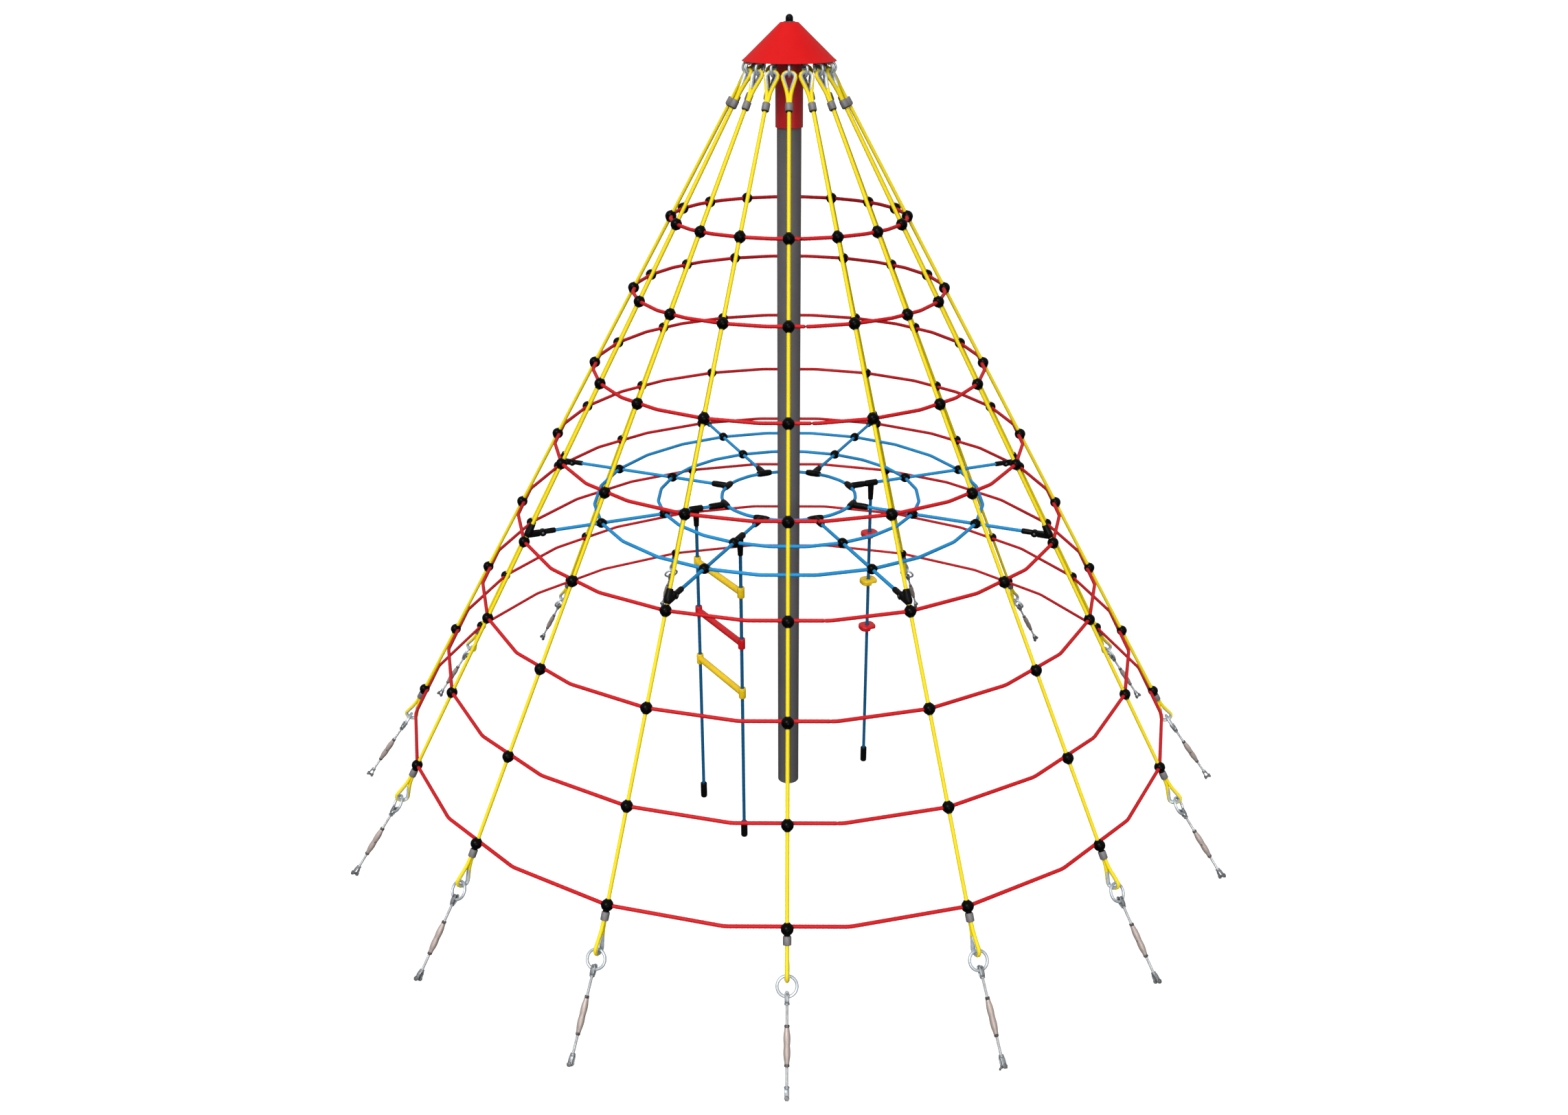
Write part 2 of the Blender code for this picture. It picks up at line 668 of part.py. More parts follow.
def guy_clamp_pieces(azimuth):
    """The tapered sleeve clamped on a guy and the eye that holds a spoke's socket to it."""
    turn = turn_to(azimuth)
    half = GUY_CLAMP_LENGTH / 2
    top, widest, bottom = GUY_CLAMP_RADII
    profile = [(0.0, half), (top, half), (widest, half * GUY_CLAMP_WIDEST), (bottom, -half),
               (0.0, -half)]
    tilt = Matrix.Rotation(-GUY_TILT, 4, "Y")
    out, radius, reach = SPOKE_EYE
    eye_place = Vector((out, 0, PLATFORM_Z - SPOKE_EYE_DROP))
    neck_end = on_guy(eye_place.z)
    thickness, height = SPOKE_NECK
    neck_size = ((neck_end - eye_place).length, thickness, height)
    return [
        turned_piece(profile, 6, Matrix.Translation(turn @ on_guy(GUY_CLAMP_Z)) @ turn @ tilt),
        rod(turn @ (eye_place - SIDEWAYS * reach), turn @ (eye_place + SIDEWAYS * reach), radius),
        block(turn @ (eye_place + neck_end) / 2, neck_size, turn),
    ]


def spoke_piece(azimuth):
    """A spoke's rope and the socket at its outer end, as one turned shape lying outward."""
    length, mouth, tip = SPOKE_SOCKET
    start, socket = PLATFORM_INNER_RADIUS + SPOKE_START, SPOKE_EYE[0] - length
    end = SPOKE_EYE[0] - SPOKE_END_GAP
    profile = [
        (0.0, end), (tip, end), (mouth, socket), (ROPE_RADIUS, socket),
        (ROPE_RADIUS, start), (0.0, start),
    ]
    lie_down = turn_to(azimuth) @ Matrix.Rotation(math.pi / 2, 4, "Y")
    return turned_piece(profile, 6, Matrix.Translation((0, 0, PLATFORM_Z)) @ lie_down)


def make_platform_hub(channels):
    ring = [(azimuth, r) for azimuth, r, _ in ring_stations(PLATFORM_INNER_RADIUS, ())]
    rope = tube([at(azimuth, r, PLATFORM_Z) for azimuth, r in ring], ROPE_RADIUS, 1, True,
                twist="Z_UP")
    pieces = []
    for step in spoke_steps():
        azimuth = guy_azimuth(step)
        pieces.append(spoke_piece(azimuth))
        pieces += tee_pieces(azimuth, PLATFORM_INNER_RADIUS, TEE_COLLAR_LENGTH, False)
        pieces += guy_clamp_pieces(azimuth)
    for step, radius in LADDER_SPOKES:
        pieces += tee_pieces(guy_azimuth(step), radius, CLIMBING_TEE_LENGTH, True)
    hub = add("platform_hub", combine(rope, pieces), "platform")
    recesses = [recess(guy_azimuth(step), radius) for step, radius in LADDER_SPOKES]
    cut_by(hub, joined_cutter("ladder_socket_recesses", recesses))
    cut_by(hub, channels)
    shade(hub)


def recess(azimuth, radius):
    """The round hollow in a socket's mouth, which lets the rope swing."""
    depth = Vector((0, 0, SOCKET_RECESS[1]))
    mouth = at(azimuth, radius, SOCKET_MOUTH_Z)
    return rod(mouth - depth, mouth + depth, SOCKET_RECESS[0], 8)


def make_spoke_channels():
    half = ROPE_RADIUS + CLEARANCE
    lengths = []
    for step in spoke_steps():
        azimuth = guy_azimuth(step)
        inner = PLATFORM_MIDDLE_RADIUS - CHANNEL_MARGIN
        outer = PLATFORM_OUTER_RADIUS + CHANNEL_MARGIN
        middle = at(azimuth, (inner + outer) / 2, PLATFORM_Z)
        lengths.append(block(middle, (outer - inner, 2 * half, 2 * half), turn_to(azimuth)))
    return joined_cutter("spoke_channels", lengths)


def make_platform_rings():
    channels = make_spoke_channels()
    for name, radius in (("middle", PLATFORM_MIDDLE_RADIUS), ("outer", PLATFORM_OUTER_RADIUS)):
        ring = make_rope_ring(f"platform_{name}_ring", radius, PLATFORM_Z, spoke_steps(),
                              "platform", 0.0, BALL_RADIUS * 0.92)
        cut_by(ring, channels)


# Ladder and climbing rope

def pivot(name, place):
    empty = bpy.data.objects.new(name, None)
    empty.location = place
    empty.empty_display_size = 0.1
    PARTS.objects.link(empty)
    return empty


def hang(obj, empty):
    """Parents a piece made in world places to a pivot, without moving it."""
    obj.parent = empty
    obj.location = -empty.location


def make_hanging_rope(name, place, empty):
    """The rope from its socket down to the bottom of its end cap's bore."""
    top = SOCKET_MOUTH_Z + ROPE_IN_SOCKET
    bottom = HANGING_END_Z + END_CAP_FLOOR + CLEARANCE
    spans = round((top - bottom) / (6 * ROPE_RADIUS))
    heights = [top + (bottom - top) * i / spans for i in range(spans + 1)]
    points = [Vector((place.x, place.y, z)) for z in heights]
    rope = add(name, baked(tube(points, ROPE_RADIUS, 2)), "hanging")
    shade(rope)
    hang(rope, empty)


def make_end_cap(name, place, empty):
    """A blind moulded cap over the rope's end."""
    bore = ROPE_RADIUS + 2 * CLEARANCE
    low, high = HANGING_END_Z, HANGING_END_Z + END_CAP_LENGTH
    floor = low + END_CAP_FLOOR
    radius, shoulder = END_CAP_RADIUS, END_CAP_RADIUS - END_CAP_BEVEL
    profile = [
        (0.0, floor), (bore, floor), (bore, high), (shoulder, high), (radius, high - END_CAP_BEVEL),
        (radius, low + END_CAP_BEVEL), (shoulder, low), (0.0, low),
    ]
    obj = add(name, turned_piece(profile, 12, Matrix.Translation((place.x, place.y, 0))).data,
              "connector")
    shade(obj)
    hang(obj, empty)


def make_rung(name, z, places, kind, empty):
    """A bar between two collars, which are bored for the side ropes."""
    left, right = (Vector((p.x, p.y, z)) for p in places)
    radius, height = RUNG_COLLAR
    rise = Vector((0, 0, height / 2))
    bar = rod(left, right, RUNG_RADIUS, 8)
    collars = [rod(p - rise, p + rise, radius, 8) for p in (left, right)]
    joined = helper(combine(bar, collars))
    bore = ROPE_RADIUS + 3 * CLEARANCE
    bores = [rod(p - 2 * rise, p + 2 * rise, bore, 8) for p in (left, right)]
    rung = add(name, combine(joined, bores, "DIFFERENCE"), kind)
    shade(rung)
    hang(rung, empty)


def make_ladder():
    left, right = (at(guy_azimuth(step), radius, SOCKET_MOUTH_Z) for step, radius in LADDER_SPOKES)
    empty = pivot("ladder_pivot", (left + right) / 2)
    for side, place in (("left", left), ("right", right)):
        make_hanging_rope(f"ladder_rope_{side}", place, empty)
        make_end_cap(f"ladder_end_cap_{side}", place, empty)
    for name, z, kind in zip(("top", "middle", "bottom"), RUNG_Z, ("yellow", "red", "yellow")):
        make_rung(f"ladder_rung_{name}", z, (left, right), kind, empty)


def make_climbing_tee():
    step, radius = CLIMBING_SPOKE
    azimuth = guy_azimuth(step)
    empty = pivot("climbing_tee_pivot", at(azimuth, radius, PLATFORM_Z))
    sleeve, socket = tee_pieces(azimuth, radius, CLIMBING_TEE_LENGTH, True)
    joined = helper(combine(sleeve, [socket]))
    way = radial(azimuth)
    middle = at(azimuth, radius, PLATFORM_Z)
    reach = way * CLIMBING_TEE_LENGTH
    bore = rod(middle - reach, middle + reach, ROPE_RADIUS + 3 * CLEARANCE, 8)
    tee = add("climbing_tee", combine(joined, [bore, recess(azimuth, radius)], "DIFFERENCE"),
              "connector")
    shade(tee)
    hang(tee, empty)


def make_step(name, top, place, kind, empty):
    """A rounded foot block, threaded on the rope, with a notch under its right edge."""
    middle = Vector((place.x, place.y, top - STEP_THICKNESS / 2))
    rise = Vector((0, 0, STEP_THICKNESS))
    width, depth = STEP_SIZE
    disc = rod(middle - rise / 2, middle + rise / 2, width / 2, 12,
               guy_azimuth(CLIMBING_SPOKE[0]))
    squash = Matrix.Diagonal((1, depth / width, 1, 1))
    disc.data.transform(Matrix.Translation(middle) @ squash @ Matrix.Translation(-middle))
    bore = rod(middle - rise, middle + rise, ROPE_RADIUS + 3 * CLEARANCE, 8)
    notch_place = Vector((STEP_NOTCH_START + width / 2, -depth / 2, -STEP_THICKNESS / 2))
    notch = block(middle + notch_place, (width, depth, 2 * STEP_NOTCH_HEIGHT))
    obj = add(name, combine(disc, [bore, notch], "DIFFERENCE"), kind)
    shade(obj)
    hang(obj, empty)


def make_climbing_rope():
    step, radius = CLIMBING_SPOKE
    place = at(guy_azimuth(step), radius, SOCKET_MOUTH_Z)
    empty = pivot("climbing_rope_pivot", place)
    make_hanging_rope("climbing_rope", place, empty)
    make_end_cap("climbing_rope_end_cap", place, empty)
    for name, z, kind in zip(("top", "middle", "bottom"), STEP_TOP_Z, ("red", "yellow", "red")):
        make_step(f"climbing_step_{name}", z, place, kind, empty)


def build():
    make_mast()
    make_head()
    make_cap()
    make_dome_nut()
    channels = make_guy_channels()
    make_net_rings(channels)
    make_guys()
    make_turnbuckles()
    make_platform_hub(channels)
    make_platform_rings()
    make_ladder()
    make_climbing_tee()
    make_climbing_rope()


build()
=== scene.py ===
"""The rope pyramid climber as it looks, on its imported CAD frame. Metres, +Z up, front at -Y."""

import math

import bmesh
import bpy
from mathutils import Matrix, Vector


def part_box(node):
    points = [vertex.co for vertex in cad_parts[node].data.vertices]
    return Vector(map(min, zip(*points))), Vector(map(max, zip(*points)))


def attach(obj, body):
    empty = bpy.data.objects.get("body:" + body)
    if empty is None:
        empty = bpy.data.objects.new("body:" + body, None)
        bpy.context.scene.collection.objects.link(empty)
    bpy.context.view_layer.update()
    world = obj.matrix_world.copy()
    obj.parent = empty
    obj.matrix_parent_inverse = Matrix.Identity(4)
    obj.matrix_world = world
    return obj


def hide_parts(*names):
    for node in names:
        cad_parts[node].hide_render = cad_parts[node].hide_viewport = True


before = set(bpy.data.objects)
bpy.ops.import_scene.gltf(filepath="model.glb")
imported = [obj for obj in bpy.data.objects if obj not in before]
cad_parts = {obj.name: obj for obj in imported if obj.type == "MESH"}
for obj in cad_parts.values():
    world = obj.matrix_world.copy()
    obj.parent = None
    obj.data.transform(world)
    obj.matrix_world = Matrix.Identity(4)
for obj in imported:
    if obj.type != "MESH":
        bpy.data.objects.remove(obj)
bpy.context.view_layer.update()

# Driving dimensions, as in the CAD
GUYS = 16
GUY_SLOPE = 0.5627  # radius gained for each metre down
LOWEST_RING = (2.0, 0.572)  # radius, height
RING_CORNERS = 24
ROPE_RADIUS = 0.009
ROPE_LAY = 0.144  # one turn of its six strands
ROPE_STEP = 0.012  # from one ring of its mesh to the next
YARN_TURNS, KNOT_LENGTH = 0.94, 0.0042
THREAD_PITCH = 0.00175
BALL_RADIUS = 0.027
MAST_RADIUS, MAST_TOP = 0.05715, 3.846
EYE_TOP_Z = 3.791
EYE_FOOT_Z = 0.39
EYE_LENGTH = 0.1435
FERRULE = (0.018, 0.038)  # radius, length
SHACKLE_ABOVE_EYE = 0.0065
SHACKLE = (0.025, 0.006)  # radius of its bow and of its wire
LUG_ABOVE_EYE = (0.018, 0.062)  # its lower and its upper end
STEEL_RING = (0.0415, 0.0066)  # radius of the ring and of its wire
RING_IN_EYE = 0.0205
TENSIONER_TILT = math.radians(35.31)
PIN_TO_PIN = 0.4062
PIN_INSIDE_RING = 0.0115
PIN_TO_NUT = 0.122
NUT = (0.011, 0.011)  # radius to its corners, length
TURNBUCKLE_LENGTH = 0.143
JAW_GAP, JAW_STRAP, JAW_WIDTH, JAW_LENGTH = 0.014, 0.005, 0.02, 0.043
ROD_RADIUS = 0.006
ANCHORED_GUY = 1
PLATFORM_RADII = (0.345, 0.669, 0.991)
SPOKE_EYE = 1.283
SPOKE_EYE_DROP = 0.003
TEE_SOCKET_END = 0.433
SOCKET_MOUTH_Z = 1.627
ROPE_TOP_Z = 1.63
ROPE_FOOT_Z = 0.0355
LADDER_SPOKES = ((-3, 0.503), (-1, 0.602))  # step, radius
CLIMBING_SPOKE = (5, 0.469)
GUY_CLAMP_Z = 1.7385


# Places

def turn_to(step):
    """Carries local +X to the outward direction of a guy; step 0 faces -Y."""
    return Matrix.Rotation(2 * math.pi * step / GUYS - math.pi / 2, 4, "Z")


def on_guy(z):
    return Vector((LOWEST_RING[0] - GUY_SLOPE * (z - LOWEST_RING[1]), 0.0, z))


def middle(node):
    low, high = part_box(node)
    return (Vector(low) + Vector(high)) / 2


GUY_TILT = math.atan(GUY_SLOPE)
DOWN_GUY = Vector((math.sin(GUY_TILT), 0.0, -math.cos(GUY_TILT)))
DOWN_TENSIONER = Vector((math.sin(TENSIONER_TILT), 0.0, -math.cos(TENSIONER_TILT)))
ACROSS_TENSIONER = Vector((math.cos(TENSIONER_TILT), 0.0, math.sin(TENSIONER_TILT)))
OUTWARD = Vector((1.0, 0.0, 0.0))
SIDEWAYS = Vector((0.0, 1.0, 0.0))
PLATFORM_Z = middle("platform_middle_ring").z
EYE_TOP = on_guy(EYE_TOP_Z)
EYE_FOOT = on_guy(EYE_FOOT_Z)
STEEL_RING_CENTRE = EYE_FOOT - DOWN_GUY * RING_IN_EYE + DOWN_TENSIONER * STEEL_RING[0]
TOP_PIN = STEEL_RING_CENTRE + DOWN_TENSIONER * (STEEL_RING[0] - PIN_INSIDE_RING)
FOOT_PIN = TOP_PIN + DOWN_TENSIONER * PIN_TO_PIN


# Camera

camera = bpy.data.objects.new("camera", bpy.data.cameras.new("camera"))
camera.data.sensor_width = 36.0
camera.data.lens = 31.14
camera.data.clip_end = 2000.0
camera.location = (0.0109, -6.506, 4.274)
camera.rotation_euler = (math.radians(65.927), 0.0, math.radians(0.305))
bpy.context.scene.collection.objects.link(camera)
bpy.context.scene.camera = camera


# Materials

def linear(*srgb):
    """A colour from its 0 to 255 screen values."""
    parts = [c / 255 for c in srgb]
    parts = [c / 12.92 if c <= 0.04045 else ((c + 0.055) / 1.055) ** 2.4 for c in parts]
    return (*parts, 1.0)


class Paint:
    """A Principled material, with short calls for the nodes that drive it."""

    def __init__(self, name, roughness, metallic=0.0, **settings):
        self.material = bpy.data.materials.new(name)
        self.material.use_nodes = True
        self.tree = self.material.node_tree
        self.shader = self.tree.nodes["Principled BSDF"]
        self.shader.inputs["Roughness"].default_value = roughness
        self.shader.inputs["Metallic"].default_value = metallic
        for socket, value in settings.items():
            self.shader.inputs[socket.replace("_", " ")].default_value = value
        self.place = self.node("ShaderNodeTexCoord").outputs["Object"]

    def node(self, kind, inputs=(), **settings):
        made = self.tree.nodes.new(kind)
        for key, value in settings.items():
            setattr(made, key, value)
        for socket, value in dict(inputs).items():
            if isinstance(value, bpy.types.NodeSocket):
                self.tree.links.new(value, made.inputs[socket])
            else:
                made.inputs[socket].default_value = value
        return made

    def sum(self, operation, first, second=0.0, third=0.0):
        inputs = {0: first, 1: second, 2: third}
        return self.node("ShaderNodeMath", inputs, operation=operation).outputs[0]

    def blend(self, first, share, second, other_share):
        parts = self.sum("MULTIPLY", first, share), self.sum("MULTIPLY", second, other_share)
        return self.sum("ADD", *parts)

    def noise(self, scale, detail=3.0, stretch=None):
        place = self.place
        if stretch:
            place = self.node("ShaderNodeMapping", {"Vector": place, "Scale": stretch}).outputs[0]
        inputs = {"Vector": place, "Scale": scale, "Detail": detail, "Roughness": 0.55}
        return self.node("ShaderNodeTexNoise", inputs).outputs["Fac"]

    def lay(self):
        """The mesh's map: x runs round the shape and y is the length in metres."""
        mapped = self.node("ShaderNodeUVMap", uv_map="lay").outputs["UV"]
        split = self.node("ShaderNodeSeparateXYZ", {0: mapped})
        return split.outputs["X"], split.outputs["Y"]

    def colour(self, factor, *stops):
        """Colours along the factor, as (position, screen colour) pairs."""
        ramp = self.node("ShaderNodeValToRGB", {"Fac": factor})
        elements = ramp.color_ramp.elements
        while len(elements) < len(stops):
            elements.new(1.0)
        for element, (position, colour) in zip(elements, stops):
            element.position = position
            element.color = linear(*colour)
        self.tree.links.new(ramp.outputs["Color"], self.shader.inputs["Base Color"])

    def rough(self, factor, low, high):
        inputs = {"Value": factor, "To Min": low, "To Max": high}
        spread = self.node("ShaderNodeMapRange", inputs)
        self.tree.links.new(spread.outputs["Result"], self.shader.inputs["Roughness"])

    def bump(self, *layers):
        """Bumps from (height, depth in metres) pairs, each on top of the one before."""
        normal = None
        for height, depth in layers:
            inputs = {"Height": height, "Distance": depth, "Strength": 1.0}
            if normal:
                inputs["Normal"] = normal
            normal = self.node("ShaderNodeBump", inputs).outputs["Normal"]
        self.tree.links.new(normal, self.shader.inputs["Normal"])
        return self.material


def rope_paint(name, light, dark):
    """Six strands of fine braided yarn, with painted shade darkening the hollows between the
    strands.
    """
    paint = Paint(name, 0.55, Specular_IOR_Level=0.22)
    around, along = paint.lay()
    crest = paint.sum("COSINE", paint.sum("MULTIPLY", around, 12 * math.pi))
    turns = paint.sum("MULTIPLY", along, YARN_TURNS / ROPE_LAY)
    yarn_phase = paint.sum("MULTIPLY", paint.sum("ADD", around, turns), 60 * math.pi)
    knot_phase = paint.sum("MULTIPLY", along, 2 * math.pi / KNOT_LENGTH)
    yarn = paint.sum("SINE", yarn_phase)
    weave = paint.sum("MULTIPLY", yarn, paint.sum("SINE", paint.sum("ADD", knot_phase, yarn_phase)))
    fibre = paint.noise(2600.0, 4.0)
    soil = paint.noise(3.5, 4.0)
    # Painted shade: the crests are painted lighter and the hollows between strands darker, under
    # the real fibre mottle and soil.
    tone = paint.sum("MULTIPLY_ADD", crest, 0.08, 0.62)
    fibre_mottle_and_hollow_shade = paint.sum("MULTIPLY_ADD", fibre, 0.12, tone)
    soil_and_hollow_shade = paint.sum("MULTIPLY_ADD", soil, 0.2, paint.sum("SUBTRACT", fibre_mottle_and_hollow_shade, 0.15))
    paint.colour(soil_and_hollow_shade, (0.32, dark), (0.78, light))
    paint.rough(fibre, 0.46, 0.64)
    return paint.bump((crest, 0.0001), (weave, 0.00004), (fibre, 0.00003))


def plastic_paint(name, light, dark, roughness, specular=0.4, coat=0.0):
    """Moulded plastic: a fine grain, a slow drift of tone and scuffs that dull it."""
    paint = Paint(name, roughness, Specular_IOR_Level=specular, Coat_Weight=coat,
                  Coat_Roughness=0.18)
    drift = paint.noise(6.0, 5.0)
    scuff = paint.noise(45.0, 6.0, (1.0, 1.0, 0.35))
    paint.colour(paint.blend(drift, 0.6, scuff, 0.4), (0.3, dark), (0.62, light))
    paint.rough(scuff, roughness - 0.1, roughness + 0.14)
    return paint.bump((paint.noise(900.0, 2.0), 0.00005), (scuff, 0.00008))


def enamel_paint(name, light, dark, roughness):
    """Sprayed enamel on steel: orange peel, faint runs and a little dust."""
    paint = Paint(name, roughness, Specular_IOR_Level=0.5, Coat_Weight=0.25, Coat_Roughness=0.22)
    runs = paint.noise(14.0, 4.0, (1.0, 1.0, 0.08))
    dust = paint.noise(4.0, 6.0)
    paint.colour(paint.blend(runs, 0.5, dust, 0.5), (0.34, dark), (0.64, light))
    paint.rough(dust, roughness - 0.08, roughness + 0.12)
    return paint.bump((paint.noise(420.0, 2.0), 0.00005), (runs, 0.00012))


def metal_paint(name, light, dark, roughness, cells=0.0, brush=(1.0, 1.0, 1.0), metallic=0.9):
    """Steel with zinc spangle or a rolled grain, and small dents."""
    paint = Paint(name, roughness, metallic)
    grain = paint.noise(260.0, 5.0, brush)
    blotch = paint.noise(30.0, 5.0)
    factor = paint.blend(grain, 0.45, blotch, 0.55)
    if cells:
        voronoi = paint.node("ShaderNodeTexVoronoi", {"Vector": paint.place, "Scale": cells})
        spangle = paint.node("ShaderNodeSeparateXYZ", {0: voronoi.outputs["Color"]}).outputs["X"]
        factor = paint.blend(factor, 0.72, spangle, 0.28)
    paint.colour(factor, (0.28, dark), (0.66, light))
    paint.rough(factor, roughness - 0.1, roughness + 0.14)
    return paint.bump((grain, 0.00006), (blotch, 0.0002))


def thread_paint():
    """Bright rod whose thread follows its map, with painted shade in the roots of the thread."""
    paint = Paint("threaded_rod", 0.34, 0.6)
    around, along = paint.lay()
    turns = paint.sum("ADD", paint.sum("MULTIPLY", along, 1 / THREAD_PITCH), around)
    ridge = paint.sum("SINE", paint.sum("MULTIPLY", turns, 2 * math.pi))
    oil = paint.noise(60.0, 4.0)
    # Painted shade: the thread's crests are painted lighter and its roots darker, over a random
    # mottle of oil.
    tone = paint.sum("MULTIPLY_ADD", ridge, 0.08, oil)
    paint.colour(tone, (0.25, (196, 198, 200)), (0.75, (228, 230, 232)))
    paint.rough(oil, 0.22, 0.42)
    return paint.bump((ridge, 0.00025), (oil, 0.00008))


YELLOW_ROPE = rope_paint("yellow_rope", (242, 219, 14), (208, 182, 4))
RED_ROPE = rope_paint("red_rope", (208, 16, 26), (164, 6, 16))
BLUE_ROPE = rope_paint("blue_rope", (24, 146, 208), (8, 112, 176))
HANGING_ROPE = rope_paint("dark_blue_rope", (0, 92, 142), (0, 72, 114))
MAST_PAINT = enamel_paint("grey_enamel", (98, 96, 98), (88, 86, 88), 0.5)
SLEEVE_PAINT = enamel_paint("deep_red_enamel", (206, 4, 26), (182, 2, 20), 0.42)
CAP_PLASTIC = plastic_paint("red_cap_plastic", (198, 14, 17), (190, 10, 13), 0.5, specular=0.1)
BLACK_PLASTIC = plastic_paint("black_plastic", (11, 11, 12), (6, 6, 7), 0.34, specular=0.09)
BALL_PLASTIC = plastic_paint("ball_plastic", (5, 5, 6), (2, 2, 3), 0.28, specular=0.06)
YELLOW_PLASTIC = plastic_paint("yellow_moulding", (232, 196, 14), (218, 178, 8), 0.34, coat=0.1)
RED_PLASTIC = plastic_paint("red_moulding", (206, 14, 24), (186, 8, 18), 0.34, coat=0.1)
FERRULE_METAL = metal_paint("pressed_ferrule", (122, 120, 122), (100, 98, 100), 0.55, metallic=0.3)
THIMBLE_METAL = metal_paint(
    "thimble_zinc", (198, 208, 214), (170, 180, 188), 0.45, 240.0, metallic=0.4)
RING_METAL = metal_paint("ring_zinc", (208, 217, 223), (180, 189, 196), 0.36, 170.0, metallic=0.6)
ZINC = metal_paint("spangled_zinc", (162, 167, 170), (130, 135, 138), 0.4, 170.0, metallic=0.6)
LUG_METAL = metal_paint("lug_steel", (88, 88, 90), (64, 64, 66), 0.5, metallic=0.5)
NUT_METAL = metal_paint("dark_nut", (94, 92, 94), (62, 60, 62), 0.45, metallic=0.5)
BOLT_METAL = metal_paint("bolt_steel", (118, 118, 120), (84, 84, 86), 0.42, metallic=0.6)
BODY_METAL = metal_paint(
    "turnbuckle_body", (182, 168, 161), (160, 146, 140), 0.42, brush=(1, 1, 6),
    metallic=0.3)
THREAD = thread_paint()


# Shapes

def frames(path, closed=False, normal=None):
    """A steady (place, side, side) frame at each point of the path, with no twist of its own."""
    count = len(path)
    tangents = []
    for i in range(count):
        before = path[i - 1] if i or closed else path[0]
        after = path[(i + 1) % count] if i < count - 1 or closed else path[-1]
        tangents.append((after - before).normalized())
    side = (normal or tangents[0].orthogonal()).normalized()
    side = (side - tangents[0] * side.dot(tangents[0])).normalized()
    found = []
    for i, tangent in enumerate(tangents):
        if i:
            side = tangents[i - 1].rotation_difference(tangent) @ side
            side = (side - tangent * side.dot(tangent)).normalized()
        found.append((path[i], side.copy(), tangent.cross(side)))
    return found


def lengths(path):
    run = [0.0]
    for a, b in zip(path, path[1:]):
        run.append(run[-1] + (b - a).length)
    return run


def resampled(path, step, closed=False):
    """The same line with evenly spaced points, about a step apart."""
    line = list(path) + ([path[0]] if closed else [])
    run = lengths(line)
    count = max(2, round(run[-1] / step))
    points = []
    at = 0
    for i in range(count if closed else count + 1):
        want = run[-1] * i / count
        while at < len(run) - 2 and run[at + 1] < want:
            at += 1
        part = (want - run[at]) / max(run[at + 1] - run[at], 1e-9)
        points.append(line[at].lerp(line[at + 1], part))
    return points


def smooth(knots, per_span=10):
    """A curve through the knots."""
    points = []
    for i, (b, c) in enumerate(zip(knots, knots[1:])):
        a = knots[i - 1] if i else b - (c - b)
        d = knots[i + 2] if i + 2 < len(knots) else c + (c - b)
        for k in range(per_span):
            t = k / per_span
            points.append(0.5 * ((2 * b) + (c - a) * t + (2 * a - 5 * b + 4 * c - d) * t * t
                                 + (3 * b - a - 3 * c + d) * t ** 3))
    return [*points, knots[-1]]


